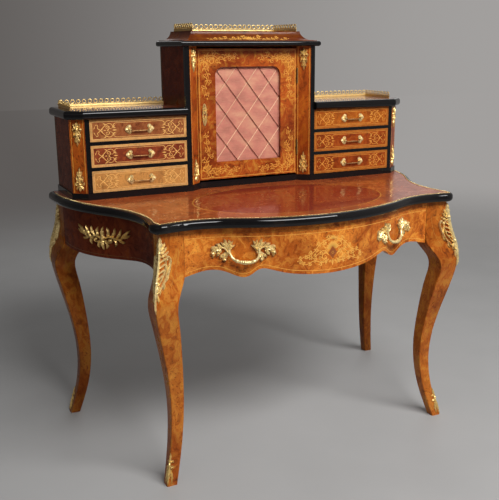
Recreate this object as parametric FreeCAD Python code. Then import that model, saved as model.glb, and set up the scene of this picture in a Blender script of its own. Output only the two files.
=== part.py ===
import FreeCAD, Part
import math
import os

from FreeCAD import Vector

# Bonheur du jour: a serpentine writing table that carries two drawer units and a cupboard.
# Millimetres, +Z up, +Y to the back. The origin is on the floor under the middle of the table top.

# Table top, seen in plan
TABLE_HEIGHT = 760.0
TOP_THICKNESS = 27.0
TOP_WIDTH = 1262.0
TOP_DEPTH = 747.0
FRONT_BOW = 100.0
HOLLOW_FROM_WAIST = 93.0
SIDE_HOLLOW = 138.0
SIDE_STRAIGHT = 67.0
WAIST_FROM_BACK = 542.0
BOW_RADIUS_SHARE = 0.688
SIDE_SWELL_RADIUS_SHARE = 0.608
TIP_RADIUS = 32.0
REAR_CORNER_RADIUS = 28.0
MOULDING_WIDTH = 14.0
MOULDING_ROUND = 11.0
BEAD_WIDTH = 2.5
BEAD_DEPTH = 8.0
BEAD_PROUD = 0.8
OVAL_LENGTH = 610.0
OVAL_WIDTH = 430.0
OVAL_FROM_FRONT = 277.0
OVAL_DEPTH = 3.0

# Legs, whose outer arris swells and draws in along the diagonal
FRONT_LEG_FROM_WAIST = 15.0
FRONT_LEG_FROM_FRONT = 111.0
REAR_LEG_FROM_SIDE = 25.0
REAR_LEG_FROM_BACK = 36.0
LEG_POST = 70.0
LEG_TRIM = 6.0
KNEE_SWELL = 30.0
leg_height_shares = (0.0, 0.15, 0.327, 0.506, 0.66, 0.75, 0.82, 0.885, 1.0)
leg_swell_shares = (0.333, -0.48, -0.72, -0.1, 0.75, 1.0, 0.72, 0.3, 0.0)
leg_width_shares = (0.443, 0.493, 0.571, 0.729, 0.885, 0.985, 1.28)
leg_blend_shares = (0.0, 0.0, 0.0, 0.0, 0.0, 0.08, 0.75)

# Gilt mounts on the table
MOUNT_WRAP = 20.0
KNEE_MOUNT_TOP = 12.0
KNEE_MOUNT_LENGTH = 186.0
KNEE_MOUNT_WIDTH = 40.0
KNEE_MOUNT_THICKNESS = 4.0
knee_mount_shares = ((0.0, 0.18), (0.12, 0.42), (0.29, 0.2), (0.42, 0.48), (0.54, 0.5), (0.7, 0.25),
                     (1.0, 0.06))
SABOT_RISE = 3.0
SABOT_HEIGHT = 88.0
SABOT_WIDTH = 22.0
SABOT_THICKNESS = 2.4
sabot_shares = ((0.0, 0.1), (0.15, 0.26), (0.32, 0.2), (0.5, 0.5), (0.62, 0.34), (0.85, 0.5), (1.0, 0.42))
SIDE_MOUNT_LENGTH = 215.0
SIDE_MOUNT_HEIGHT = 70.0
SIDE_MOUNT_THICKNESS = 5.0
SIDE_MOUNT_FROM_BACK = 320.0
SIDE_MOUNT_TOP = 36.0
side_mount_shares = ((-0.5, 0.0), (-0.2, -0.05), (0.0, 0.05), (0.2, -0.05), (0.5, -0.22),
                     (0.3, -0.5), (0.08, -1.0), (-0.08, -1.0), (-0.3, -0.45))

# Frieze, aprons and the frieze drawer
TOP_OVERHANG = 22.0
FRIEZE_THICKNESS = 22.0
FRIEZE_HEIGHT = 120.0
FRONT_RAIL_HEIGHT = 15.0
APRON_DROP = 26.0
apron_shares = ((1.0, 0.4), (0.93, 0.16), (0.865, -0.05), (0.8, -0.1), (0.74, 0.08), (0.68, 0.48),
                (0.61, 0.8), (0.56, 0.46), (0.525, 0.02), (0.49, -0.12), (0.45, 0.0), (0.4, 0.24),
                (0.333, 0.53), (0.26, 0.73), (0.13, 0.93))
SIDE_DROP = 12.0
side_edge_shares = ((0.0, 0.55), (0.13, 1.0), (0.39, 1.0), (0.6, 0.55), (0.75, -0.15), (1.0, 0.0))
BACK_RAIL_SET = 12.0
BOX_BACK_ROOM = 125.0
BOX_HEIGHT = 64.0
BOX_SIDE = 12.0
BOX_BOTTOM = 6.0
BOX_SIDE_GAP = 9.0
BOX_BELOW_TOP = 93.0
RUNNER_HEIGHT = 18.0
RUNNER_UNDER = 13.0
RUNNER_OUT = 24.0
GUIDE_HEIGHT = 20.0
KICKER_HEIGHT = 12.0
STOP_LENGTH = 15.0
SLIDE_GAP = 0.3
SIDE_GAP = 0.6
FRONT_GAP = 1.0

# Cast pulls of the frieze drawer
PULL_FROM_POST = 157.0
PULL_SPREAD = 55.0
PULL_BELOW_TOP = 89.0
LEAF_WIDTH = 62.0
LEAF_HEIGHT = 62.0
LEAF_THICKNESS = 6.0
leaf_shares = ((0.5, -0.3), (0.42, 0.1), (0.1, 0.5), (-0.3, 0.42), (-0.4, 0.0), (-0.5, -0.4), (0.0, -0.5))
BOW_HALF = 36.0
BOW_END_DROP = 8.0
BOW_DROP = 33.0
BOW_STAND = 20.0
BOW_RADIUS = 4.2

# Superstructure
SUPER_SETBACK = 8.0
SUPER_DEPTH = 217.0
PLINTH_HEIGHT = 20.0
PLINTH_LIP = 4.0
UNIT_FROM_SIDE = 38.5
UNIT_HEIGHT = 220.0
CANT_WIDTH = 38.5
CANT_DEPTH = 31.0
BOARD = 14.0
STILE_WIDTH = 14.0
DRAWER_RAIL = 10.0
BACK_THICKNESS = 10.0
UNIT_TOP_THICKNESS = 26.0
UNIT_TOP_OVERHANG = 15.0
UNIT_MOULDING_WIDTH = 20.0
UNIT_MOULDING_ROUND = 10.0
DRAWERS_PER_UNIT = 3

# Cupboard
CUPBOARD_HALF_WIDTH = 232.4
CUPBOARD_SIDE = 16.0
CUPBOARD_STILE_DEPTH = 12.0
CUPBOARD_HEIGHT = 448.5
DOOR_RECESS = 30.0
PILASTER_RUN = 36.4
DOOR_SIDE_GAP = 1.5
DOOR_BOTTOM_GAP = 6.0
DOOR_TOP_GAP = 6.5
DOOR_THICKNESS = 20.0
PILASTER_BACK = 35.0
SHELF_THICKNESS = 12.0
SHELF_RISE = 215.0
SHELF_SET = 76.0
CORNICE_HEIGHT = 16.5
CORNICE_OVERHANG = 14.0
CORNICE_ROUND = 7.0
COVE_HEIGHT = 31.0
COVE_LIP = 2.5
COVE_OUT = 4.0
COVE_RUN = 42.0
COVE_SAG = 10.0

# Galleries
GALLERY_HEIGHT = 22.0
CUPBOARD_GALLERY_HEIGHT = 25.0
GALLERY_THICKNESS = 1.5
GALLERY_PITCH = 17.5
gallery_arch_share = 0.42
gallery_hole_share = 0.3
UNIT_GALLERY_INSET = 12.0
UNIT_GALLERY_RUN = 150.0
UNIT_GALLERY_BACK = 12.0
CUPBOARD_GALLERY_INSET = 8.0

# Door
DOOR_STILE_WIDTH = 60.5
PANE_BOTTOM = 56.0
PANE_HEIGHT = 303.0
PANE_ROUND = 28.0
PANE_LIP = 8.0
REBATE = 10.0
LATTICE_THICKNESS = 1.6
LATTICE_WIDTH = 3.0
DIAMONDS = 3
SILK_THICKNESS = 1.0
BACKBOARD_THICKNESS = 5.8
ESCUTCHEON_INSET = 20.5
ESCUTCHEON_HEIGHT = 70.0
ESCUTCHEON_WIDTH = 15.0
ESCUTCHEON_THICKNESS = 2.0
KEYHOLE_RISE = 211.0
KEYHOLE_WIDTH = 3.0
KEYHOLE_LENGTH = 9.0
LOCK_WIDTH = 34.0
LOCK_HEIGHT = 54.0
LOCK_DEPTH = 12.0
LOCK_INSET = 2.0
BOLT_THICKNESS = 5.0
BOLT_HEIGHT = 18.0
BOLT_LENGTH = 26.0
BOLT_GAP = 0.3
MORTICE_GAP = 1.0
BOLT_THROW = 8.0

# Hinges
HINGE_LENGTH = 50.0
HINGE_INSET = 64.0
HINGE_LEAF = 0.6
HINGE_REACH = 19.0
KNUCKLE_RADIUS = 2.8
KNUCKLE_FORWARD = 3.5
KNUCKLE_GAP = 0.3
PIN_RADIUS = 1.4
PIN_GAP = 0.05

# Corner and pilaster mounts
CORNER_MOUNT_WIDTH = 17.0
CORNER_MOUNT_HEIGHT = 75.0
CORNER_MOUNT_THICKNESS = 4.0
CORNER_MOUNT_INSET = 4.0
corner_mount_shares = ((0.0, -0.5), (0.34, -0.3), (0.5, -0.05), (0.22, 0.2), (0.0, 0.5),
                       (-0.22, 0.2), (-0.5, -0.05), (-0.34, -0.3))

# Small drawers and their bail handles
DRAWER_GAP = 0.8
DRAWER_FRONT = 16.0
DRAWER_SIDE = 8.0
DRAWER_BOTTOM = 5.0
DRAWER_DEPTH = 197.0
DRAWER_SIDE_DROP = 6.0
DRAWER_SIDE_SET = 1.2
HANDLE_HALF_SPAN = 32.0
TREFOIL_RADIUS = 6.4
TREFOIL_RISE = 7.4
PLATE_THICKNESS = 2.0
POST_RADIUS = 2.8
POST_LENGTH = 11.0
PIVOT_STAND = 7.5
TRUNNION_RADIUS = 1.1
TRUNNION_GAP = 0.05
BAIL_RADIUS = 1.6
BAIL_ARM_X = 26.6
BAIL_DROP = 5.0
BAIL_BEND = 3.6

OVERRUN = 40.0

# Places worked out from the sizes above
FRONT_EDGE = -TOP_DEPTH / 2
REAR_EDGE = TOP_DEPTH / 2
TOP_UNDERSIDE = TABLE_HEIGHT - TOP_THICKNESS
FRIEZE_FOOT = TOP_UNDERSIDE - FRIEZE_HEIGHT
HALF_WIDTH = TOP_WIDTH / 2
WAIST_X = HALF_WIDTH - SIDE_HOLLOW
FRONT_HOLLOW_X = WAIST_X - HOLLOW_FROM_WAIST
FRONT_LEG_X = WAIST_X - FRONT_LEG_FROM_WAIST
REAR_LEG_X = HALF_WIDTH - REAR_LEG_FROM_SIDE
FRONT_LEG_Y = FRONT_EDGE + FRONT_LEG_FROM_FRONT
REAR_LEG_Y = REAR_EDGE - REAR_LEG_FROM_BACK
POST_X = FRONT_LEG_X - LEG_POST
PULL_X = POST_X - PULL_FROM_POST
REAR_POST_X = REAR_LEG_X - LEG_POST
FRONT_POST_Y = FRONT_LEG_Y + LEG_POST
REAR_POST_Y = REAR_LEG_Y - LEG_POST
BACK_RAIL_Y = REAR_LEG_Y - BACK_RAIL_SET
BACK_RAIL_FACE = BACK_RAIL_Y - FRIEZE_THICKNESS
BACK_Y = REAR_EDGE - SUPER_SETBACK
FRONT_Y = BACK_Y - SUPER_DEPTH
PANEL_Y = BACK_Y - BACK_THICKNESS
PLINTH_TOP = TABLE_HEIGHT + PLINTH_HEIGHT
UNIT_TOP_Z = PLINTH_TOP + UNIT_HEIGHT
GALLERY_Z = UNIT_TOP_Z + UNIT_TOP_THICKNESS
CUPBOARD_TOP_Z = TABLE_HEIGHT + CUPBOARD_HEIGHT
COVE_Z = CUPBOARD_TOP_Z + CORNICE_HEIGHT
CUPBOARD_GALLERY_Z = COVE_Z + COVE_HEIGHT
UNIT_HALF_WIDTH = HALF_WIDTH - UNIT_FROM_SIDE
STILE_X = UNIT_HALF_WIDTH - CANT_WIDTH
OPENING_OUT = STILE_X - STILE_WIDTH
OPENING_HEIGHT = (UNIT_HEIGHT - DRAWER_RAIL * (DRAWERS_PER_UNIT - 1)) / DRAWERS_PER_UNIT
DRAWER_PITCH = OPENING_HEIGHT + DRAWER_RAIL
INNER_X = CUPBOARD_HALF_WIDTH - CUPBOARD_SIDE
PILASTER_X = INNER_X - PILASTER_RUN
DOOR_HALF_WIDTH = PILASTER_X - DOOR_SIDE_GAP
PANE_HALF_WIDTH = DOOR_HALF_WIDTH - DOOR_STILE_WIDTH
ESCUTCHEON_X = DOOR_HALF_WIDTH - ESCUTCHEON_INSET
DOOR_Y = FRONT_Y + DOOR_RECESS
DOOR_BACK = DOOR_Y + DOOR_THICKNESS
DOOR_BOTTOM = PLINTH_TOP + DOOR_BOTTOM_GAP
DOOR_TOP = CUPBOARD_TOP_Z - DOOR_TOP_GAP
PANE_Z = DOOR_BOTTOM + PANE_BOTTOM
PANE_TOP = PANE_Z + PANE_HEIGHT
LATTICE_Y = DOOR_Y + PANE_LIP
SILK_Y = LATTICE_Y + LATTICE_THICKNESS * 2
BACKBOARD_Y = SILK_Y + SILK_THICKNESS
KEYHOLE_Z = DOOR_BOTTOM + KEYHOLE_RISE
HINGE_X = DOOR_HALF_WIDTH + DOOR_SIDE_GAP / 2
HINGE_Y = DOOR_Y - KNUCKLE_FORWARD
BOX_FLOOR = TABLE_HEIGHT - BOX_BELOW_TOP - TOP_THICKNESS
BOX_HALF = POST_X - BOX_SIDE_GAP
BOX_END = BACK_RAIL_FACE - BOX_BACK_ROOM


# Small helpers
def box(x0, x1, y0, y1, z0, z1):
    return Part.makeBox(x1 - x0, y1 - y0, z1 - z0, Vector(x0, y0, z0))


def extruded(edges, z0, z1):
    """A solid of constant plan between two heights, from edges that close on themselves."""
    wire = Part.Wire(Part.__sortEdges__(edges))
    wire.translate(Vector(0, 0, z0))
    return Part.Face(wire).extrude(Vector(0, 0, z1 - z0))


def polygon_prism(points, z0, z1):
    wire = Part.makePolygon([Vector(x, y, z0) for x, y in points + points[:1]])
    return Part.Face(wire).extrude(Vector(0, 0, z1 - z0))


def mirrored(shape):
    return shape.mirror(Vector(0, 0, 0), Vector(1, 0, 0))


def pair(shape):
    return [shape, mirrored(shape)]


def smooth(points, closed=False):
    """An edge that runs smoothly through the points."""
    curve = Part.BSplineCurve()
    curve.interpolate(points, PeriodicFlag=closed)
    return curve.toShape()


def line(start, end):
    return Part.LineSegment(start, end).toShape()


def save(node, *solids):
    shape = solids[0] if len(solids) == 1 else Part.makeCompound(list(solids))
    shape.exportStep("parts/" + node + ".step")


# Plan of the serpentine top: arcs that meet tangentially, all drawn at an inset from the outer edge
def ogee_radii(length, width, share):
    """Radii of two tangent arcs that join parallel tangents, the first taking the given share."""
    total = (length * length + width * width) / (2 * width)
    return total * share, total * (1 - share)


SWELL_Y = REAR_EDGE - SIDE_STRAIGHT
WAIST_Y = REAR_EDGE - WAIST_FROM_BACK
BOW_R, HOLLOW_R = ogee_radii(FRONT_HOLLOW_X, FRONT_BOW, BOW_RADIUS_SHARE)
SWELL_R, WAIST_R = ogee_radii(SWELL_Y - WAIST_Y, SIDE_HOLLOW, SIDE_SWELL_RADIUS_SHARE)
BOW_CENTRE = Vector(0, FRONT_EDGE + BOW_R, 0)
HOLLOW_CENTRE = Vector(FRONT_HOLLOW_X, FRONT_EDGE + FRONT_BOW - HOLLOW_R, 0)
SWELL_CENTRE = Vector(HALF_WIDTH - SWELL_R, SWELL_Y, 0)
WAIST_CENTRE = Vector(WAIST_X + WAIST_R, WAIST_Y, 0)
REAR_CENTRE = Vector(HALF_WIDTH - REAR_CORNER_RADIUS, REAR_EDGE - REAR_CORNER_RADIUS, 0)


def tip_centre():
    """Centre of the rounded front corner, which touches the side hollow and the front hollow."""
    across = WAIST_CENTRE - HOLLOW_CENTRE
    far = HOLLOW_R + TIP_RADIUS
    near = WAIST_R + TIP_RADIUS
    along = (far * far - near * near + across.Length * across.Length) / (2 * across.Length)
    aside = math.sqrt(far * far - along * along)
    unit = across / across.Length
    return HOLLOW_CENTRE + unit * along + Vector(-unit.y, unit.x, 0) * aside


TIP_CENTRE = tip_centre()


def towards(start, end, distance):
    return start + (end - start) / (end - start).Length * distance


def arc(centre, start, end):
    """The short arc about a centre from one point to another."""
    halfway = (start - centre) + (end - centre)
    middle = centre + halfway / halfway.Length * (start - centre).Length
    return Part.Arc(start, middle, end).toShape()


def front_points(inset):
    """Right half of the front edge: apex, turn from bow to hollow, turn from hollow to tip."""
    apex = Vector(0, FRONT_EDGE + inset, 0)
    turn = towards(BOW_CENTRE, HOLLOW_CENTRE, BOW_R - inset)
    tip = towards(HOLLOW_CENTRE, TIP_CENTRE, HOLLOW_R + inset)
    return apex, turn, tip


def side_points(inset):
    """Right side edge: rear end of the straight, start of the swell, its turn, and the tip."""
    rear = Vector(HALF_WIDTH - inset, REAR_CENTRE.y, 0)
    start = Vector(HALF_WIDTH - inset, SWELL_Y, 0)
    turn = towards(SWELL_CENTRE, WAIST_CENTRE, SWELL_R - inset)
    tip = towards(WAIST_CENTRE, TIP_CENTRE, WAIST_R + inset)
    return rear, start, turn, tip


def front_edges(inset):
    apex, turn, tip = front_points(inset)
    return [arc(BOW_CENTRE, apex, turn), arc(HOLLOW_CENTRE, turn, tip)]


def side_edges(inset):
    rear, start, turn, tip = side_points(inset)
    return [line(rear, start), arc(SWELL_CENTRE, start, turn), arc(WAIST_CENTRE, turn, tip)]


def top_outline(inset):
    """Closed outline of the table top at an inset from its outer edge."""
    corner = Vector(REAR_CENTRE.x, REAR_EDGE - inset, 0)
    half = front_edges(inset) + side_edges(inset)
    half.append(arc(TIP_CENTRE, front_points(inset)[-1], side_points(inset)[-1]))
    half.append(arc(REAR_CENTRE, side_points(inset)[0], corner))
    half.append(line(corner, Vector(0, REAR_EDGE - inset, 0)))
    return half + [mirrored(edge) for edge in half]


def front_face_y(x, inset):
    """Y of the front edge at a distance from the middle, at an inset from the outer edge."""
    if abs(x) <= front_points(inset)[1].x:
        return BOW_CENTRE.y - math.sqrt((BOW_R - inset) ** 2 - x * x)
    return HOLLOW_CENTRE.y + math.sqrt((HOLLOW_R + inset) ** 2 - (abs(x) - FRONT_HOLLOW_X) ** 2)


def side_face_x(y, inset):
    """X of the right side edge at a given depth, at an inset from the outer edge."""
    if y >= SWELL_Y:
        return HALF_WIDTH - inset
    if y >= side_points(inset)[2].y:
        return SWELL_CENTRE.x + math.sqrt((SWELL_R - inset) ** 2 - (y - SWELL_Y) ** 2)
    return WAIST_CENTRE.x - math.sqrt((WAIST_R + inset) ** 2 - (y - WAIST_Y) ** 2)


def front_band(outer, inner, z0, z1):
    """A wall that follows the front edge between two insets."""
    outside = front_edges(outer) + [mirrored(edge) for edge in front_edges(outer)]
    inside = front_edges(inner) + [mirrored(edge) for edge in front_edges(inner)]
    end = line(front_points(outer)[-1], front_points(inner)[-1])
    return extruded(outside + inside + pair(end), z0, z1)


def side_band(outer, inner, z0, z1):
    """A wall that follows the right side edge between two insets."""
    rear = line(side_points(outer)[0], side_points(inner)[0])
    front = line(side_points(outer)[-1], side_points(inner)[-1])
    return extruded(side_edges(outer) + side_edges(inner) + [rear, front], z0, z1)


# Table top
def top_moulding():
    """Ebonised bullnose edge, round above and below."""
    slab = extruded(top_outline(0), TOP_UNDERSIDE, TABLE_HEIGHT)
    rims = [edge for edge in slab.Edges if edge.BoundBox.ZLength < GALLERY_THICKNESS]
    rounded = slab.makeFillet(MOULDING_ROUND, rims)
    return rounded.cut(extruded(top_outline(MOULDING_WIDTH), TOP_UNDERSIDE, TABLE_HEIGHT))


def top_bead():
    """Fine gilt strip let in between the moulding and the veneered field."""
    outside = extruded(top_outline(MOULDING_WIDTH), TABLE_HEIGHT - BEAD_DEPTH, TABLE_HEIGHT + BEAD_PROUD)
    inset = MOULDING_WIDTH + BEAD_WIDTH
    return outside.cut(extruded(top_outline(inset), TABLE_HEIGHT - BEAD_DEPTH, TABLE_HEIGHT + BEAD_PROUD))


def oval_panel():
    """Oval writing panel let into the field."""
    oval = Part.Ellipse(Vector(0, FRONT_EDGE + OVAL_FROM_FRONT, 0), OVAL_LENGTH / 2, OVAL_WIDTH / 2)
    return extruded([oval.toShape()], TABLE_HEIGHT - OVAL_DEPTH, TABLE_HEIGHT)


def top_board():
    board = extruded(top_outline(MOULDING_WIDTH), TOP_UNDERSIDE, TABLE_HEIGHT)
    return board.cut([top_bead(), oval_panel()])


# Legs
def leg_sections(top_x, top_y, back, flush_x, flush_y, grow):
    """Corner points of the leg at each height: outer arris, two face edges and the inner corner.

    back is 1 where the leg swells to the back and -1 where it swells to the front. At the
    top the faces run flush with the friezes, and grow moves every face outwards.
    """
    sections = []
    for i, share in enumerate(leg_height_shares):
        z = TOP_UNDERSIDE * share
        swell = KNEE_SWELL * leg_swell_shares[i]
        x = top_x + swell
        y = top_y + back * swell
        if i < len(leg_width_shares):
            inner_x = x - LEG_POST * leg_width_shares[i]
            inner_y = y - back * LEG_POST * leg_width_shares[i]
            blend = leg_blend_shares[i]
        else:
            inner_x = top_x - LEG_POST - LEG_TRIM
            inner_y = top_y - back * (LEG_POST + LEG_TRIM)
            blend = 1
        face_x = x + (flush_x - x) * blend
        face_y = y + (flush_y - y) * blend
        out = back * grow
        sections.append((Vector(x + grow, y + out, z), Vector(inner_x - grow, face_y + out, z),
                         Vector(inner_x - grow, inner_y - out, z), Vector(face_x + grow, inner_y - out, z)))
    return sections


def leg_body(sections):
    return Part.makeLoft([Part.makePolygon(list(s) + [s[0]]) for s in sections], True, False)


def front_leg_sections(grow=0):
    flush_x = side_face_x(FRONT_POST_Y, TOP_OVERHANG)
    flush_y = front_face_y(POST_X, TOP_OVERHANG)
    return leg_sections(FRONT_LEG_X, FRONT_LEG_Y, -1, flush_x, flush_y, grow)


def rear_leg_sections(grow=0):
    flush_x = side_face_x(REAR_POST_Y, TOP_OVERHANG)
    return leg_sections(REAR_LEG_X, REAR_LEG_Y, 1, flush_x, REAR_LEG_Y, grow)


def trimmed(leg, post_x, y0, y1):
    """Flat inner faces where the rails and friezes meet the leg's square top."""
    inner = box(-HALF_WIDTH, post_x, -TOP_DEPTH, TOP_DEPTH, -OVERRUN, TABLE_HEIGHT)
    behind = box(-HALF_WIDTH, TOP_WIDTH, y0, y1, -OVERRUN, TABLE_HEIGHT)
    return leg.cut([inner, behind])


def front_leg():
    return trimmed(leg_body(front_leg_sections()), POST_X, FRONT_POST_Y, REAR_EDGE)


def rear_leg():
    return trimmed(leg_body(rear_leg_sections()), REAR_POST_X, FRONT_EDGE, REAR_POST_Y)


def arris_mount(sections, leg, back, top, length, width, outline_shares):
    """Gilt casting that wraps the outer arris of a leg, drawn as an outline on the diagonal."""
    arris = sections[-1][0]
    right = [(width * across, top - length * down) for down, across in outline_shares]
    left = [(-across, z) for across, z in reversed(right)]
    out = Vector(1, back, 0) / math.sqrt(2)
    along = Vector(back, -1, 0) / math.sqrt(2)
    base = Vector(arris.x, arris.y, 0) - out * MOUNT_WRAP
    points = [base + along * across + Vector(0, 0, z) for across, z in right + left]
    blank = Part.Face(Part.makePolygon(points + points[:1])).extrude(out * (MOUNT_WRAP + KNEE_SWELL * 2))
    return leg_body(sections).common(blank).cut(leg)


def knee_mount(sections, leg, back):
    """Scrolled leaf on the knee."""
    top = TOP_UNDERSIDE - KNEE_MOUNT_TOP
    return arris_mount(sections, leg, back, top, KNEE_MOUNT_LENGTH, KNEE_MOUNT_WIDTH, knee_mount_shares)


def sabot(sections, leg, back):
    """Leaf on the foot."""
    top = SABOT_RISE + SABOT_HEIGHT
    return arris_mount(sections, leg, back, top, SABOT_HEIGHT, SABOT_WIDTH, sabot_shares)


# Frieze
def apron_cutter():
    """Everything under the shaped lower edge of the frieze drawer."""
    def place(share_pair):
        return Vector(POST_X * share_pair[0], FRONT_EDGE - OVERRUN, FRIEZE_FOOT - APRON_DROP * share_pair[1])
    right = [place(p) for p in apron_shares]
    left = [Vector(-p.x, p.y, p.z) for p in reversed(right)]
    middle = Vector(0, right[0].y, FRIEZE_FOOT - APRON_DROP)
    low = FRIEZE_FOOT - APRON_DROP - OVERRUN
    side = line(right[0], Vector(POST_X, middle.y, low))
    foot = line(Vector(POST_X, middle.y, low), Vector(-POST_X, middle.y, low))
    edges = [smooth(right + [middle] + left), side, foot, mirrored(side)]
    face = Part.Face(Part.Wire(Part.__sortEdges__(edges)))
    return face.extrude(Vector(0, TOP_DEPTH / 2, 0))


def frieze_drawer_front():
    """Bowed front whose lower edge is the shaped apron."""
    top = TOP_UNDERSIDE - FRONT_RAIL_HEIGHT - SIDE_GAP
    inner = TOP_OVERHANG + FRIEZE_THICKNESS
    band = front_band(TOP_OVERHANG, inner, FRIEZE_FOOT - APRON_DROP, top)
    reach = POST_X - FRONT_GAP
    span = box(-reach, reach, FRONT_EDGE, REAR_EDGE, 0, TABLE_HEIGHT)
    return band.common(span).cut(apron_cutter())


def front_rail():
    """Rail above the frieze drawer, between the front legs."""
    inner = TOP_OVERHANG + FRIEZE_THICKNESS
    band = front_band(TOP_OVERHANG, inner, TOP_UNDERSIDE - FRONT_RAIL_HEIGHT, TOP_UNDERSIDE)
    return band.common(box(-POST_X, POST_X, FRONT_EDGE, REAR_EDGE, 0, TABLE_HEIGHT))


def side_frieze():
    """Serpentine side with a shaped lower edge, between the front and the rear leg."""
    low = FRIEZE_FOOT - APRON_DROP - OVERRUN
    band = side_band(TOP_OVERHANG, TOP_OVERHANG + FRIEZE_THICKNESS, low, TOP_UNDERSIDE)
    length = REAR_POST_Y - FRONT_POST_Y
    points = [Vector(0, REAR_POST_Y - length * along, FRIEZE_FOOT - SIDE_DROP * drop)
              for along, drop in side_edge_shares]
    corners = [Vector(0, FRONT_POST_Y, low), Vector(0, REAR_POST_Y, low)]
    wire = Part.Wire([smooth(points), line(points[-1], corners[0]), line(corners[0], corners[1]),
                      line(corners[1], points[0])])
    below = Part.Face(wire).extrude(Vector(TOP_WIDTH, 0, 0))
    return band.common(box(0, TOP_WIDTH, FRONT_POST_Y, REAR_POST_Y, low, TABLE_HEIGHT)).cut(below)


def back_rail():
    return box(-REAR_POST_X, REAR_POST_X, BACK_RAIL_FACE, BACK_RAIL_Y, FRIEZE_FOOT, TOP_UNDERSIDE)


def side_mount():
    """Gilt foliate casting on the serpentine side."""
    band = side_band(TOP_OVERHANG - SIDE_MOUNT_THICKNESS, TOP_OVERHANG, 0, TABLE_HEIGHT)
    y = REAR_EDGE - SIDE_MOUNT_FROM_BACK
    top = TOP_UNDERSIDE - SIDE_MOUNT_TOP
    points = [Vector(0, y + SIDE_MOUNT_LENGTH * along, top + SIDE_MOUNT_HEIGHT * rise)
              for along, rise in side_mount_shares]
    return band.common(Part.Face(Part.Wire(smooth(points, True))).extrude(Vector(TOP_WIDTH, 0, 0)))


def drawer_runners():
    """Runner, guide, kicker and stop that carry the frieze drawer on the right."""
    inner = BOX_HALF - RUNNER_UNDER
    outer = POST_X + RUNNER_OUT
    runner = box(inner, outer, FRONT_POST_Y, BACK_RAIL_FACE, BOX_FLOOR - RUNNER_HEIGHT, BOX_FLOOR)
    guide_top = BOX_FLOOR + GUIDE_HEIGHT
    guide = box(BOX_HALF + SIDE_GAP, outer, FRONT_POST_Y, BACK_RAIL_FACE, BOX_FLOOR, guide_top)
    roof = BOX_FLOOR + SLIDE_GAP + BOX_HEIGHT + SIDE_GAP
    kicker = box(inner, outer, FRONT_POST_Y, BACK_RAIL_FACE, roof, roof + KICKER_HEIGHT)
    stop = box(inner, BOX_HALF, BOX_END + SLIDE_GAP, BOX_END + STOP_LENGTH, BOX_FLOOR, guide_top)
    return [runner, guide, kicker, stop]


def frieze_drawer_box():
    """Two sides, back and bottom behind the bowed front."""
    inner = TOP_OVERHANG + FRIEZE_THICKNESS
    edges = front_edges(inner) + [mirrored(edge) for edge in front_edges(inner)]
    tip = front_points(inner)[-1]
    far = Vector(tip.x, REAR_EDGE, 0)
    edges += pair(line(tip, far)) + [line(far, Vector(-tip.x, REAR_EDGE, 0))]
    behind = extruded(edges, 0, TABLE_HEIGHT)
    floor = BOX_FLOOR + SLIDE_GAP
    top = floor + BOX_HEIGHT
    side = box(BOX_HALF - BOX_SIDE, BOX_HALF, FRONT_EDGE, BOX_END, floor, top).common(behind)
    reach = BOX_HALF - BOX_SIDE
    back = box(-reach, reach, BOX_END - BOX_SIDE, BOX_END, floor, top)
    bottom = box(-reach, reach, FRONT_EDGE, BOX_END - BOX_SIDE, floor, floor + BOX_BOTTOM).common(behind)
    return pair(side) + [back, bottom]


def frieze_pull():
    """Cast pull on the right: two leaves on the bowed front joined by a hanging bow."""
    z = TABLE_HEIGHT - PULL_BELOW_TOP
    band = front_band(TOP_OVERHANG - LEAF_THICKNESS, TOP_OVERHANG, 0, TABLE_HEIGHT)
    leaves = []
    for side in (-1, 1):
        x = PULL_X + side * PULL_SPREAD
        points = [Vector(x + side * LEAF_WIDTH * a, FRONT_EDGE - OVERRUN, z + LEAF_HEIGHT * r)
                  for a, r in leaf_shares]
        blank = Part.Face(Part.Wire(smooth(points, True))).extrude(Vector(0, TOP_DEPTH / 2, 0))
        leaves.append(band.common(blank))
    ends = []
    for side in (-1, 1):
        x = PULL_X + side * BOW_HALF
        ends.append(Vector(x, front_face_y(x, TOP_OVERHANG - LEAF_THICKNESS / 2), z - BOW_END_DROP))
    middle = Vector(PULL_X, front_face_y(PULL_X, TOP_OVERHANG) - BOW_STAND, z - BOW_DROP)
    curve = Part.Arc(ends[0], middle, ends[1])
    ring = Part.makeCircle(BOW_RADIUS, ends[0], curve.tangent(curve.FirstParameter)[0])
    bow = Part.Wire(curve.toShape()).makePipeShell([Part.Wire(ring)], True, False)
    under = front_band(TOP_OVERHANG, TOP_OVERHANG + FRIEZE_THICKNESS, 0, TABLE_HEIGHT)
    return leaves[0].fuse([leaves[1], bow.cut(under)])


# Superstructure
def plan_outline(out, recessed):
    """Plan of the superstructure's right half, from the middle of the front to the back."""
    lean = out * math.tan(math.atan2(CANT_DEPTH, CANT_WIDTH) / 2)
    inner = out * math.tan(math.atan2(DOOR_RECESS, INNER_X - PILASTER_X) / 2)
    front = FRONT_Y - out
    points = [(STILE_X + lean, front), (UNIT_HALF_WIDTH + out, FRONT_Y + CANT_DEPTH - lean),
              (UNIT_HALF_WIDTH + out, BACK_Y)]
    if recessed:
        points = [(PILASTER_X - inner, DOOR_Y - out), (INNER_X - inner, front)] + points
    return points


def plinth():
    """Ebonised base that steps back in front of the door."""
    right = plan_outline(PLINTH_LIP, True)
    left = [(-x, y) for x, y in reversed(right)]
    return polygon_prism(right + left, TABLE_HEIGHT, PLINTH_TOP)


def unit_side():
    inner = UNIT_HALF_WIDTH - BOARD
    return box(inner, UNIT_HALF_WIDTH, FRONT_Y + CANT_DEPTH, PANEL_Y, PLINTH_TOP, UNIT_TOP_Z)


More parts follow.
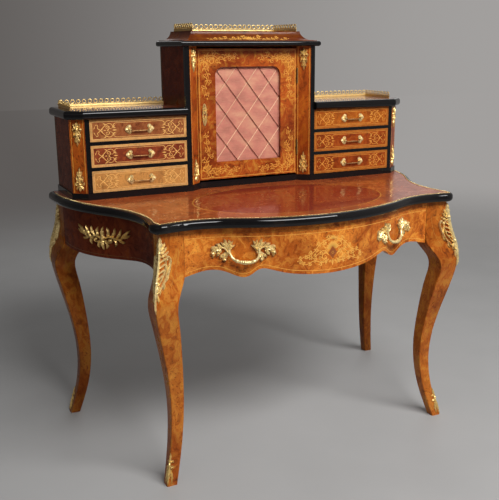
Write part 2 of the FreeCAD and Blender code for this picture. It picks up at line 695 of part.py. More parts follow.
def canted_corner():
    edge = FRONT_Y + CANT_DEPTH
    points = [(STILE_X, FRONT_Y), (UNIT_HALF_WIDTH, edge), (UNIT_HALF_WIDTH - BOARD, edge),
              (STILE_X, FRONT_Y + BOARD)]
    return polygon_prism(points, PLINTH_TOP, UNIT_TOP_Z)


def unit_framing():
    """Ebonised partition beside the drawers and the rails between them, on the right."""
    stile = box(OPENING_OUT, STILE_X, FRONT_Y, PANEL_Y, PLINTH_TOP, UNIT_TOP_Z)
    rails = []
    for i in range(1, DRAWERS_PER_UNIT):
        z = PLINTH_TOP + DRAWER_PITCH * i - DRAWER_RAIL
        rails.append(box(CUPBOARD_HALF_WIDTH, OPENING_OUT, FRONT_Y, PANEL_Y, z, z + DRAWER_RAIL))
    return [stile] + rails


def unit_top_outline(out):
    """Plan of the right unit's top, from the cupboard's side outwards."""
    points = [(CUPBOARD_HALF_WIDTH, FRONT_Y - out)] + plan_outline(out, False)
    return points + [(CUPBOARD_HALF_WIDTH, BACK_Y)]


def unit_moulding():
    """Ebonised bullnose on the front, the cant and the outer side of a unit's top."""
    slab = polygon_prism(unit_top_outline(UNIT_TOP_OVERHANG), UNIT_TOP_Z, GALLERY_Z)
    rims = []
    for edge in slab.Edges:
        middle = edge.CenterOfMass
        level = edge.BoundBox.ZLength < GALLERY_THICKNESS
        if level and middle.x > CUPBOARD_HALF_WIDTH + OVERRUN and middle.y < BACK_Y - OVERRUN:
            rims.append(edge)
    field = polygon_prism(unit_top_outline(UNIT_TOP_OVERHANG - UNIT_MOULDING_WIDTH), UNIT_TOP_Z, GALLERY_Z)
    return slab.makeFillet(UNIT_MOULDING_ROUND, rims).cut(field)


def unit_top():
    return polygon_prism(unit_top_outline(UNIT_TOP_OVERHANG - UNIT_MOULDING_WIDTH), UNIT_TOP_Z, GALLERY_Z)


def back_panels():
    unit = box(CUPBOARD_HALF_WIDTH, UNIT_HALF_WIDTH, PANEL_Y, BACK_Y, PLINTH_TOP, UNIT_TOP_Z)
    middle = box(-CUPBOARD_HALF_WIDTH, CUPBOARD_HALF_WIDTH, PANEL_Y, BACK_Y, PLINTH_TOP, CUPBOARD_TOP_Z)
    return pair(unit) + [middle]


# Cupboard
def cupboard_side():
    front = FRONT_Y + CUPBOARD_STILE_DEPTH
    return box(INNER_X, CUPBOARD_HALF_WIDTH, front, PANEL_Y, PLINTH_TOP, CUPBOARD_TOP_Z)


def cupboard_stile():
    """Ebonised front edge of the cupboard's side."""
    front = FRONT_Y + CUPBOARD_STILE_DEPTH
    return box(INNER_X, CUPBOARD_HALF_WIDTH, FRONT_Y, front, PLINTH_TOP, CUPBOARD_TOP_Z)


def pilaster():
    """Post whose canted face leads from the cupboard's front back to the door."""
    back = DOOR_Y + PILASTER_BACK
    points = [(INNER_X, FRONT_Y), (INNER_X, back), (PILASTER_X, back), (PILASTER_X, DOOR_Y)]
    return polygon_prism(points, PLINTH_TOP, CUPBOARD_TOP_Z)


def bolt_pocket():
    """Mortice for the lock's bolt in the left pilaster."""
    x = -PILASTER_X
    y = DOOR_BACK + (LOCK_DEPTH - BOLT_THICKNESS) / 2 - MORTICE_GAP
    z = KEYHOLE_Z - BOLT_HEIGHT / 2 - MORTICE_GAP
    depth = BOLT_THROW + LOCK_INSET
    return box(x - depth, x, y, y + BOLT_THICKNESS + MORTICE_GAP * 2, z, z + BOLT_HEIGHT + MORTICE_GAP * 2)


def shelf():
    z = PLINTH_TOP + SHELF_RISE
    return box(-INNER_X, INNER_X, FRONT_Y + SHELF_SET, PANEL_Y, z, z + SHELF_THICKNESS)


def cornice():
    """Ebonised cornice board, rounded along its front and sides."""
    half = CUPBOARD_HALF_WIDTH + CORNICE_OVERHANG
    slab = box(-half, half, FRONT_Y - CORNICE_OVERHANG, BACK_Y, CUPBOARD_TOP_Z, COVE_Z)
    rims = []
    for edge in slab.Edges:
        level = edge.BoundBox.ZLength < GALLERY_THICKNESS
        if level and edge.CenterOfMass.y < BACK_Y - OVERRUN:
            rims.append(edge)
    return slab.makeFillet(CORNICE_ROUND, rims)


def cove_profile(edge, back):
    """Section of the coved top from its lower edge to its upper edge, as distance and height."""
    top = COVE_Z + COVE_HEIGHT
    start = Vector(edge, 0, COVE_Z + COVE_LIP)
    end = Vector(edge - COVE_RUN, 0, top - COVE_LIP)
    chord = end - start
    middle = (start + end) / 2 + Vector(-chord.z, 0, chord.x) / chord.Length * COVE_SAG
    return [Part.Arc(start, middle, end).toShape(), line(Vector(edge, 0, COVE_Z), start),
            line(end, Vector(end.x, 0, top)), line(Vector(end.x, 0, top), Vector(back, 0, top)),
            line(Vector(back, 0, top), Vector(back, 0, COVE_Z)),
            line(Vector(back, 0, COVE_Z), Vector(edge, 0, COVE_Z))]


def coved_top():
    """Veneered cove above the cornice: two crossing sections meet in mitred corners."""
    half = CUPBOARD_HALF_WIDTH + COVE_OUT
    depth = BACK_Y - FRONT_Y + COVE_OUT
    side = Part.Face(Part.Wire(Part.__sortEdges__(cove_profile(half, 0))))
    across = side.extrude(Vector(0, depth, 0))
    across.translate(Vector(0, FRONT_Y - COVE_OUT, 0))
    front = Part.Face(Part.Wire(Part.__sortEdges__(cove_profile(depth, 0))))
    along = front.extrude(Vector(0, half * 2, 0))
    along.rotate(Vector(0, 0, 0), Vector(0, 0, 1), -90)
    along.translate(Vector(-half, BACK_Y, 0))
    whole = across.fuse(mirrored(across)).removeSplitter()
    return whole.common(along)


# Galleries
def gallery_strip(length, height):
    """Upright brass strip along +X with a row of arches, each round a hole."""
    count = int(length / GALLERY_PITCH)
    pitch = length / count
    rise = Vector(0, 0, pitch * gallery_arch_share)
    spring = Vector(0, 0, height) - rise
    reach = Vector(pitch / 2, 0, 0)
    end = Vector(length, 0, 0)
    edges = [line(spring, Vector(0, 0, 0)), line(Vector(0, 0, 0), end), line(end, end + spring)]
    holes = []
    for i in range(count):
        centre = spring + reach * (2 * i + 1)
        edges.append(Part.Arc(centre - reach, centre + rise, centre + reach).toShape())
        hole = Part.makeCircle(pitch * gallery_hole_share, centre, Vector(0, 1, 0))
        holes.append(Part.Wire(hole))
    face = Part.Face([Part.Wire(Part.__sortEdges__(edges))] + holes)
    return face.extrude(Vector(0, GALLERY_THICKNESS, 0))


def turned_strip(length, height, x, y, z):
    """A gallery strip that runs to the front from a point on its outer face."""
    strip = gallery_strip(length, height)
    strip.rotate(Vector(0, 0, 0), Vector(0, 0, 1), -90)
    strip.translate(Vector(x - GALLERY_THICKNESS, y, z))
    return strip


def unit_gallery():
    """Strips on the back and the outer side of the right unit's top."""
    outer = UNIT_HALF_WIDTH - UNIT_GALLERY_INSET
    back = BACK_Y - UNIT_GALLERY_BACK
    rear = gallery_strip(outer - CUPBOARD_HALF_WIDTH, GALLERY_HEIGHT)
    rear.translate(Vector(CUPBOARD_HALF_WIDTH, back, GALLERY_Z))
    return [rear, turned_strip(UNIT_GALLERY_RUN, GALLERY_HEIGHT, outer, back, GALLERY_Z)]


def cupboard_gallery():
    """Strips on the back and both sides of the coved top."""
    half = CUPBOARD_HALF_WIDTH + COVE_OUT - COVE_RUN - CUPBOARD_GALLERY_INSET
    back = BACK_Y - UNIT_GALLERY_BACK
    run = back - (FRONT_Y - COVE_OUT + COVE_RUN) - CUPBOARD_GALLERY_INSET
    rear = gallery_strip(half * 2, CUPBOARD_GALLERY_HEIGHT)
    rear.translate(Vector(-half, back, CUPBOARD_GALLERY_Z))
    return [rear] + pair(turned_strip(run, CUPBOARD_GALLERY_HEIGHT, half, back, CUPBOARD_GALLERY_Z))


# Mounts on the canted faces
def corner_mount():
    """Gilt leaf drop that lies on a face seen from the front."""
    points = [Vector(CORNER_MOUNT_WIDTH * a, 0, CORNER_MOUNT_HEIGHT * r) for a, r in corner_mount_shares]
    return Part.Face(Part.Wire(smooth(points, True))).extrude(Vector(0, -CORNER_MOUNT_THICKNESS, 0))


def mounts_on_face(start, end, bottom, top):
    """One mount near the head and one near the foot of a canted face between two plan points."""
    turn = math.degrees(math.atan2(end.y - start.y, end.x - start.x))
    middle = (start + end) / 2
    reach = CORNER_MOUNT_HEIGHT / 2 + CORNER_MOUNT_INSET
    mounts = []
    for z in (bottom + reach, top - reach):
        mount = corner_mount()
        mount.rotate(Vector(0, 0, 0), Vector(0, 0, 1), turn)
        mount.translate(Vector(middle.x, middle.y, z))
        mounts.append(mount)
    return mounts


def corner_mounts():
    unit = mounts_on_face(Vector(STILE_X, FRONT_Y, 0), Vector(UNIT_HALF_WIDTH, FRONT_Y + CANT_DEPTH, 0),
                          PLINTH_TOP, UNIT_TOP_Z)
    cupboard = mounts_on_face(Vector(PILASTER_X, DOOR_Y, 0), Vector(INNER_X, FRONT_Y, 0),
                              PLINTH_TOP, CUPBOARD_TOP_Z)
    right = unit + cupboard
    return right + [mirrored(mount) for mount in right]


# Door
def pane_opening(y0, y1):
    """Opening with rounded upper corners."""
    half = PANE_HALF_WIDTH
    opening = box(-half, half, y0, y1, PANE_Z, PANE_TOP)
    corners = []
    for edge in opening.Edges:
        upright = edge.BoundBox.YLength > DOOR_THICKNESS / 2
        if upright and edge.CenterOfMass.z > PANE_TOP - PANE_ROUND:
            corners.append(edge)
    return opening.makeFillet(PANE_ROUND, corners)


def rebate(y0, y1, gap=0):
    half = PANE_HALF_WIDTH + REBATE - gap
    return box(-half, half, y0, y1, PANE_Z - REBATE + gap, PANE_TOP + REBATE - gap)


def door_frame():
    """Two stiles and two rails with a shaped opening and a rebate behind it."""
    slab = box(-DOOR_HALF_WIDTH, DOOR_HALF_WIDTH, DOOR_Y, DOOR_BACK, DOOR_BOTTOM, DOOR_TOP)
    slab = slab.cut([pane_opening(DOOR_Y - OVERRUN, DOOR_BACK + OVERRUN), rebate(LATTICE_Y, DOOR_BACK)])
    middle = (PANE_Z + PANE_TOP) / 2
    stile = box(PANE_HALF_WIDTH, DOOR_HALF_WIDTH, DOOR_Y, DOOR_BACK, DOOR_BOTTOM, DOOR_TOP)
    lower = box(-PANE_HALF_WIDTH, PANE_HALF_WIDTH, DOOR_Y, DOOR_BACK, DOOR_BOTTOM, middle)
    upper = box(-PANE_HALF_WIDTH, PANE_HALF_WIDTH, DOOR_Y, DOOR_BACK, middle, DOOR_TOP)
    return [slab.common(part) for part in pair(stile) + [lower, upper]]


def door_lattice():
    """Brass strips on two diagonals, one layer behind the other."""
    rise = math.degrees(math.atan2(PANE_HEIGHT, PANE_HALF_WIDTH * 2))
    pitch = PANE_HALF_WIDTH * 2 / DIAMONDS
    reach = PANE_HEIGHT + PANE_HALF_WIDTH * 2
    middle = Vector(0, 0, (PANE_Z + PANE_TOP) / 2)
    strips = []
    for layer, turn in ((0, -rise), (1, rise)):
        y = LATTICE_Y + LATTICE_THICKNESS * layer
        for i in range(1 - DIAMONDS, DIAMONDS):
            strip = box(-reach, reach, y, y + LATTICE_THICKNESS, -LATTICE_WIDTH / 2, LATTICE_WIDTH / 2)
            strip.rotate(Vector(0, 0, 0), Vector(0, 1, 0), turn)
            strip.translate(middle + Vector(pitch * i, 0, 0))
            strip = strip.common(rebate(y, y + LATTICE_THICKNESS))
            if strip.Solids:
                strips.append(strip.Solids[0])
    return strips


def door_silk():
    return rebate(SILK_Y, SILK_Y + SILK_THICKNESS)


def door_backboard():
    return rebate(BACKBOARD_Y, BACKBOARD_Y + BACKBOARD_THICKNESS)


def keyhole(y0, y1):
    """Round eye with a slot under it."""
    eye = Part.makeCylinder(KEYHOLE_WIDTH, y1 - y0, Vector(-ESCUTCHEON_X, y0, KEYHOLE_Z), Vector(0, 1, 0))
    half = KEYHOLE_WIDTH / 2
    slot = box(-ESCUTCHEON_X - half, -ESCUTCHEON_X + half, y0, y1, KEYHOLE_Z - KEYHOLE_LENGTH, KEYHOLE_Z)
    return eye.fuse(slot)


def escutcheon():
    """Gilt plate round the keyhole on the left stile."""
    plate = Part.Ellipse(Vector(0, 0, 0), ESCUTCHEON_HEIGHT / 2, ESCUTCHEON_WIDTH / 2)
    solid = extruded([plate.toShape()], 0, ESCUTCHEON_THICKNESS)
    solid.rotate(Vector(0, 0, 0), Vector(0, 0, 1), 90)
    solid.rotate(Vector(0, 0, 0), Vector(1, 0, 0), 90)
    solid.translate(Vector(-ESCUTCHEON_X, DOOR_Y, KEYHOLE_Z))
    return solid.cut(keyhole(DOOR_Y - ESCUTCHEON_THICKNESS, DOOR_Y))


def lock_bolt():
    x = -DOOR_HALF_WIDTH + LOCK_INSET
    y = DOOR_BACK + (LOCK_DEPTH - BOLT_THICKNESS) / 2
    z = KEYHOLE_Z - BOLT_HEIGHT / 2
    return box(x, x + BOLT_LENGTH, y, y + BOLT_THICKNESS, z, z + BOLT_HEIGHT)


def lock_case():
    """Lock on the back of the stile, hollow where the bolt slides."""
    x = -DOOR_HALF_WIDTH + LOCK_INSET
    z = KEYHOLE_Z - LOCK_HEIGHT / 2
    case = box(x, x + LOCK_WIDTH, DOOR_BACK, DOOR_BACK + LOCK_DEPTH, z, z + LOCK_HEIGHT)
    y = DOOR_BACK + (LOCK_DEPTH - BOLT_THICKNESS) / 2 - BOLT_GAP
    low = KEYHOLE_Z - BOLT_HEIGHT / 2 - BOLT_GAP
    channel = box(x, x + BOLT_LENGTH + BOLT_GAP, y, y + BOLT_THICKNESS + BOLT_GAP * 2,
                  low, low + BOLT_HEIGHT + BOLT_GAP * 2)
    return case.cut(channel)


# Hinges
def knuckle(z0, z1):
    barrel = Part.makeCylinder(KNUCKLE_RADIUS, z1 - z0, Vector(HINGE_X, HINGE_Y, z0))
    bore = Part.makeCylinder(PIN_RADIUS + PIN_GAP, z1 - z0, Vector(HINGE_X, HINGE_Y, z0))
    return barrel, bore


def hinge_leaf(x0, x1, z, spans):
    """A leaf in the joint beside the door with its knuckles over the given spans."""
    plate = box(x0, x1, HINGE_Y + PIN_RADIUS + PIN_GAP * 2, HINGE_Y + HINGE_REACH, z, z + HINGE_LENGTH)
    third = HINGE_LENGTH / 3
    solid = plate
    for i in range(3):
        low = z + third * i
        barrel, bore = knuckle(low + KNUCKLE_GAP / 2, low + third - KNUCKLE_GAP / 2)
        if i in spans:
            solid = solid.fuse(barrel).cut(bore)
        else:
            room = box(x0, x1, HINGE_Y - KNUCKLE_RADIUS, HINGE_Y + KNUCKLE_RADIUS + KNUCKLE_GAP,
                       low - KNUCKLE_GAP / 2, low + third + KNUCKLE_GAP / 2)
            solid = solid.cut(room)
    return solid


def hinge_heights():
    return (DOOR_BOTTOM + HINGE_INSET, DOOR_TOP - HINGE_INSET - HINGE_LENGTH)


def door_hinge_leaves():
    return [hinge_leaf(DOOR_HALF_WIDTH, DOOR_HALF_WIDTH + HINGE_LEAF, z, (1,)) for z in hinge_heights()]


def hinge_plates():
    """Leaves on the right pilaster with the pins that the door turns on."""
    solids = []
    for z in hinge_heights():
        solids.append(hinge_leaf(PILASTER_X - HINGE_LEAF, PILASTER_X, z, (0, 2)))
        solids.append(Part.makeCylinder(PIN_RADIUS, HINGE_LENGTH, Vector(HINGE_X, HINGE_Y, z)))
    return solids


# Small drawers, drawn for the right unit and mirrored for the left
def drawer_floor(level):
    """Underside of a drawer's opening, counted from the lowest."""
    return PLINTH_TOP + DRAWER_PITCH * level


def small_drawer(level):
    """Front, two sides, back and bottom of one drawer."""
    z = drawer_floor(level)
    x0 = CUPBOARD_HALF_WIDTH + DRAWER_GAP
    x1 = OPENING_OUT - DRAWER_GAP
    front = box(x0, x1, FRONT_Y, FRONT_Y + DRAWER_FRONT, z + DRAWER_GAP, z + OPENING_HEIGHT - DRAWER_GAP)
    y0 = FRONT_Y + DRAWER_FRONT
    y1 = FRONT_Y + DRAWER_DEPTH
    low = z + SLIDE_GAP
    high = z + OPENING_HEIGHT - DRAWER_SIDE_DROP
    left = CUPBOARD_HALF_WIDTH + DRAWER_SIDE_SET
    right = OPENING_OUT - DRAWER_SIDE_SET
    sides = [box(left, left + DRAWER_SIDE, y0, y1, low, high),
             box(right - DRAWER_SIDE, right, y0, y1, low, high)]
    back = box(left + DRAWER_SIDE, right - DRAWER_SIDE, y1 - DRAWER_SIDE, y1, low, high)
    floor = box(left + DRAWER_SIDE, right - DRAWER_SIDE, y0, y1 - DRAWER_SIDE, low, low + DRAWER_BOTTOM)
    return [front] + sides + [back, floor]


def handle_centre(level):
    x = (CUPBOARD_HALF_WIDTH + OPENING_OUT) / 2
    return Vector(x, FRONT_Y, drawer_floor(level) + OPENING_HEIGHT / 2)


def handle_plates(level):
    """Trefoil plates with the posts that hold the bail."""
    centre = handle_centre(level)
    forward = Vector(0, -1, 0)
    plates = []
    for side in (-1, 1):
        seat = centre + Vector(side * HANDLE_HALF_SPAN, 0, 0)
        lobes = []
        for across, up in ((0, 1), (side, 0), (0, -1)):
            lobe = seat + Vector(across, 0, up) * TREFOIL_RISE
            lobes.append(Part.makeCylinder(TREFOIL_RADIUS, PLATE_THICKNESS, lobe, forward))
        post = Part.makeCylinder(POST_RADIUS, POST_LENGTH, seat, forward)
        start = seat + Vector(-side * TREFOIL_RISE, -PIVOT_STAND, 0)
        eye = Part.makeCylinder(TRUNNION_RADIUS + TRUNNION_GAP, TREFOIL_RISE * 2, start, Vector(side, 0, 0))
        plates.append(lobes[0].fuse(lobes[1:] + [post]).cut(eye))
    return plates


def bail(level):
    """Hanging bar between the posts, with a trunnion at each end."""
    pivot = handle_centre(level) + Vector(0, -PIVOT_STAND, 0)
    low = Vector(0, 0, -BAIL_DROP)
    arm = Vector(BAIL_ARM_X, 0, 0)
    bend_high = pivot + arm + low + Vector(0, 0, BAIL_BEND)
    bend_low = pivot + arm + low - Vector(BAIL_BEND, 0, 0)
    bend_centre = bend_high - Vector(BAIL_BEND, 0, 0)
    half = [line(pivot + arm, bend_high), arc(bend_centre, bend_high, bend_low)]
    about = pivot.x
    flip = [edge.mirror(Vector(about, 0, 0), Vector(1, 0, 0)) for edge in half]
    across = line(bend_low, Vector(about * 2 - bend_low.x, bend_low.y, bend_low.z))
    path = Part.Wire(Part.__sortEdges__(half + flip + [across]))
    ring = Part.makeCircle(BAIL_RADIUS, pivot + arm, Vector(0, 0, -1))
    bar = path.makePipeShell([Part.Wire(ring)], True, False)
    for side in (-1, 1):
        end = pivot + arm * side
        bar = bar.fuse(Part.makeSphere(BAIL_RADIUS, end))
        length = HANDLE_HALF_SPAN - BAIL_ARM_X
        bar = bar.fuse(Part.makeCylinder(TRUNNION_RADIUS, length, end, Vector(side, 0, 0)))
    return bar


def save_table():
    front = front_leg()
    rear = rear_leg()
    save("top_board", top_board(), oval_panel())
    save("top_moulding", top_moulding())
    save("top_bead", top_bead().cut(plinth()))
    save("leg_front_right", front)
    save("leg_front_left", mirrored(front))
    save("leg_rear_right", rear)
    save("leg_rear_left", mirrored(rear))
    front_knee = knee_mount(front_leg_sections(KNEE_MOUNT_THICKNESS), front, -1)
    rear_knee = knee_mount(rear_leg_sections(KNEE_MOUNT_THICKNESS), rear, 1)
    save("knee_mounts", *pair(front_knee), *pair(rear_knee))
    front_shoe = sabot(front_leg_sections(SABOT_THICKNESS), front, -1)
    rear_shoe = sabot(rear_leg_sections(SABOT_THICKNESS), rear, 1)
    save("sabots", *pair(front_shoe), *pair(rear_shoe))
    save("front_rail", front_rail())
    save("side_friezes", *pair(side_frieze()))
    save("back_rail", back_rail())
    save("side_mounts", *pair(side_mount()))
    runners = drawer_runners()
    save("drawer_runners", *runners, *[mirrored(runner) for runner in runners])


def save_frieze_drawer():
    save("frieze_drawer_front", frieze_drawer_front())
    save("frieze_drawer_box", *frieze_drawer_box())
    save("frieze_pulls", *pair(frieze_pull()))


def save_superstructure():
    save("plinth", plinth())
    save("unit_sides", *pair(unit_side()))
    save("canted_corners", *pair(canted_corner()))
    framing = unit_framing()
    save("unit_framing", *framing, *[mirrored(member) for member in framing])
    save("unit_mouldings", *pair(unit_moulding()))
    save("unit_tops", *pair(unit_top()))
    gallery = unit_gallery()
    save("unit_galleries", *gallery, *[mirrored(strip) for strip in gallery])
    save("back_panels", *back_panels())
    save("cupboard_sides", *pair(cupboard_side()))
    save("cupboard_stiles", *pair(cupboard_stile()))
    save("pilasters", pilaster(), mirrored(pilaster()).cut(bolt_pocket()))
    save("shelf", shelf())
    save("cornice", cornice())
    save("coved_top", coved_top())
    save("cupboard_gallery", *cupboard_gallery())
    save("corner_mounts", *corner_mounts())
    save("hinge_plates", *hinge_plates())


def save_door():
    save("door_frame", *door_frame())
    save("door_lattice", *door_lattice())
    save("door_silk", door_silk())
    save("door_backboard", door_backboard())
    save("door_hinge_leaves", *door_hinge_leaves())
    save("escutcheon", escutcheon())
    save("lock_case", lock_case())
    save("lock_bolt", lock_bolt())


def save_small_drawers():
    for level in range(DRAWERS_PER_UNIT):
        pieces = {"drawer": small_drawer(level), "plates": handle_plates(level), "bail": [bail(level)]}
        for piece, solids in pieces.items():
            number = "_" + str(level + 1)
            save(piece + "_right" + number, *solids)
            save(piece + "_left" + number, *[mirrored(solid) for solid in solids])


os.makedirs("parts", exist_ok=True)
save_table()
save_frieze_drawer()
save_superstructure()
save_door()
save_small_drawers()
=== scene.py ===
"""Burr walnut bonheur du jour: veneers, marquetry, gilt mounts and the studio."""
import math
from functools import partial

import bmesh
import bpy
import numpy as np
from bpy.props import FloatProperty, FloatVectorProperty, IntProperty, PointerProperty
from bpy.types import Operator, Panel, PropertyGroup
from mathutils import Matrix, Vector


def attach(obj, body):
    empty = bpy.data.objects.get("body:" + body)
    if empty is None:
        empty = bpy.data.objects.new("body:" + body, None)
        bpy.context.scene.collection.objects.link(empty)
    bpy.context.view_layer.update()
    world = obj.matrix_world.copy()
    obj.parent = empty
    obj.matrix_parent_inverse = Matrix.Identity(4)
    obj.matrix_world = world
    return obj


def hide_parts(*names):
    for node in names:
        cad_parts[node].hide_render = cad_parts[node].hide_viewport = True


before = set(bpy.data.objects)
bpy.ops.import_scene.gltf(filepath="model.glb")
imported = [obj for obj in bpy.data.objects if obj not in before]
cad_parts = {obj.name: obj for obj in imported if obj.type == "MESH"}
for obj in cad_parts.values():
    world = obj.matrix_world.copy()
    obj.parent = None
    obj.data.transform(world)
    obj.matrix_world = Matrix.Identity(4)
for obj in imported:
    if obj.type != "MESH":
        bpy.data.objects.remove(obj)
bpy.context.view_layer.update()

bl_info = {
    "name": "Bonheur du jour",
    "version": (1, 0, 0),
    "blender": (4, 5, 0),
    "location": "View3D > Sidebar > Desk",
    "description": "Dresses the desk with veneers, marquetry, gilt mounts and a studio",
    "category": "Object",
}

MM = 0.001
TINY = 1e-9
SIDES = (-1, 1)
BANKS = ((1, "right"), (-1, "left"))
LEVELS = (1, 2, 3)

# Plan of the serpentine table edge and the frieze below it, in millimetres
FRIEZE_INSET = 22.0
BOW_RADIUS = 584.8
BOW_MIDDLE = 211.3
HOLLOW_RADIUS = 265.2
HOLLOW_MIDDLE = (400.0, -538.7)
SWELL_RADIUS = 539.0
SWELL_MIDDLE = (92.0, 306.5)
WAIST_RADIUS = 347.5
WAIST_MIDDLE = (840.5, -168.5)
HALF_WIDTH = 631.0
TABLE_BACK = 330.0
SIDE_END = -238.0
FRONT_END = 480.0
BEAD_INSET = 15.2
BEAD_HEIGHT = 760.6
OVAL_Y = -96.5
OVAL_REACH = (305.0, 215.0)

# Legs, from the floor up to the table top
LEG_TOP = 733.0
LEG_GAP = 0.05
ARRIS_TURN = 9.0
leg_heights = (0.0, 0.15, 0.327, 0.506, 0.66, 0.75, 0.82, 0.885, 1.0)
leg_swells = (10.0, -14.4, -21.6, -3.0, 22.5, 30.0, 21.6, 9.0, 0.0)
leg_widths = (31.0, 34.5, 40.0, 51.0, 62.0, 69.0, 89.6, 85.0, 76.0)
leg_blends = (0.0, 0.0, 0.0, 0.0, 0.0, 0.08, 0.75, 1.0, 1.0)
FRONT_ARRIS = (478.0, -262.5)
REAR_ARRIS = (606.0, 337.5)
FRONT_POST = (408.0, -192.5)
REAR_POST = (536.0, 267.5)

# Frieze drawer, its pulls and the side friezes
FRIEZE_HALF = 408.0
FRIEZE_LINE = (404.0, 707.5)
APRON_LINE = 613.0
APRON_DROP = 26.0
APRON_MARGIN = 10.0
apron_shares = ((0.985, 0.35), (0.93, 0.16), (0.865, -0.05), (0.8, -0.1), (0.74, 0.08),
                (0.68, 0.48), (0.61, 0.8), (0.56, 0.46), (0.525, 0.02), (0.49, -0.12),
                (0.45, 0.0), (0.4, 0.24), (0.333, 0.53), (0.26, 0.73), (0.13, 0.93), (0.0, 1.0))
SIDE_REAR = 267.5
SIDE_RUN = 460.0
SIDE_DROP = 12.0
SIDE_MARGIN = 9.0
side_shares = ((0.01, 0.58), (0.13, 1.0), (0.39, 1.0), (0.6, 0.55), (0.75, -0.15), (0.99, 0.0))
PULL_X = 251.0
SIDE_MOUNT_Y = 53.5
SIDE_MOUNT_FALL = 0.05

# Superstructure
FRONT_Y = 148.5
VENEER_DEPTHS = (1.6, 2.0)
DRAWER_X = 386.2
DRAWER_HALF_WIDTH = 153.0
DRAWER_Z = 813.33
DRAWER_PITCH = 76.67
DRAWER_HALF_HEIGHT = 32.6
DRAWER_BAND = 7.5
PLATE_SPAN = 32.0
PLATE_THICKNESS = 1.9
BAIL_HALF = 17.0
BAIL_Y = 141.0
BAIL_DROP = 5.0
BAIL_STEPS = 25
BAIL_RADIUS = 1.65
BAIL_SWELL = (1.15, 0.0, 0.16)
BAIL_RINGS = (0.7, 0.45, 0.07)
DOOR_Y = 178.5
DOOR_HALF = 178.5
DOOR_FOOT = 786.0
DOOR_HEAD = 1202.0
DOOR_LINE_INSET = 5.0
ESCUTCHEON_PLACE = (-158.0, 997.0)
PANE_HALF = 118.0
PANE_FOOT = 842.0
PANE_HEAD = 1145.0
SILK_HALF = 128.0
SILK_Y = 190.1
SILK_GRID = (64, 80)
SILK_GAP = 0.5
SILK_LAP = 9.5
SILK_MIDDLE = 993.0
PUCKER = 0.16
RIPPLE = 0.05
LATTICE_Y = 186.5
LATTICE_STEP = 1.6
LATTICE_GAP = 0.6
LATTICE_LAP = 9.4
SHORTEST_STRIP = 8.0
LATTICE_SHARES = (0.36, 0.5)
lattice_section = ((-1, 1.5), (-1, 0.9), (0, 0.1), (1, 0.9), (1, 1.5))
DIAMOND = (236.0 / 3, 101.0)
canted_plans = (((554.0, 148.5), (592.5, 179.5), 780.0, 1000.0),
                ((180.0, 178.5), (216.4, 148.5), 780.0, 1208.5))
CORNER_MOUNT_INSET = 41.5
CANTED_LINE = 19.5
COVE_START = (144.5, 1227.5)
COVE_END = (186.5, 1253.5)
COVE_HOLLOW = 10.0
COVE_RUN = 50.0
GALLERY_BACK = 354.2
GALLERY_LAP = 0.8
UNIT_GALLERY = {"inner": 232.4, "outer": 580.5, "run": 150.0, "foot": 1026.0, "height": 0.022}
TOP_GALLERY = {"outer": 186.4, "run": 159.0, "foot": 1256.0, "height": 0.025}

# Studio
FLOOR_REACH = 14.0
FLOOR_FADE = (1.9, 5.0)
SWEEP = (0.05, 0.7)  # headings to the right between which the backdrop grows pale
LAMP_AIM = (0.0, 0.0, 0.75)
lamps = (("key_lamp", "key_power", (0.6, -2.6, 3.3), (2.8, 1.3)),
         ("fill_lamp", "fill_power", (-2.9, -1.9, 1.9), (2.2, 2.2)),
         ("back_lamp", "back_power", (1.3, 2.4, 2.5), (2.4, 2.4)))
CAMERA_EYE = (-1.1404, -2.1588, 1.2078)
CAMERA_YAW = 0.4774
CAMERA_PITCH = 0.2505
CAMERA_ROLL = -0.0036
CAMERA_LENS = 56.29
CAMERA_SENSOR = 36.0
CAMERA_SHIFT = (-0.0369, -0.0070)


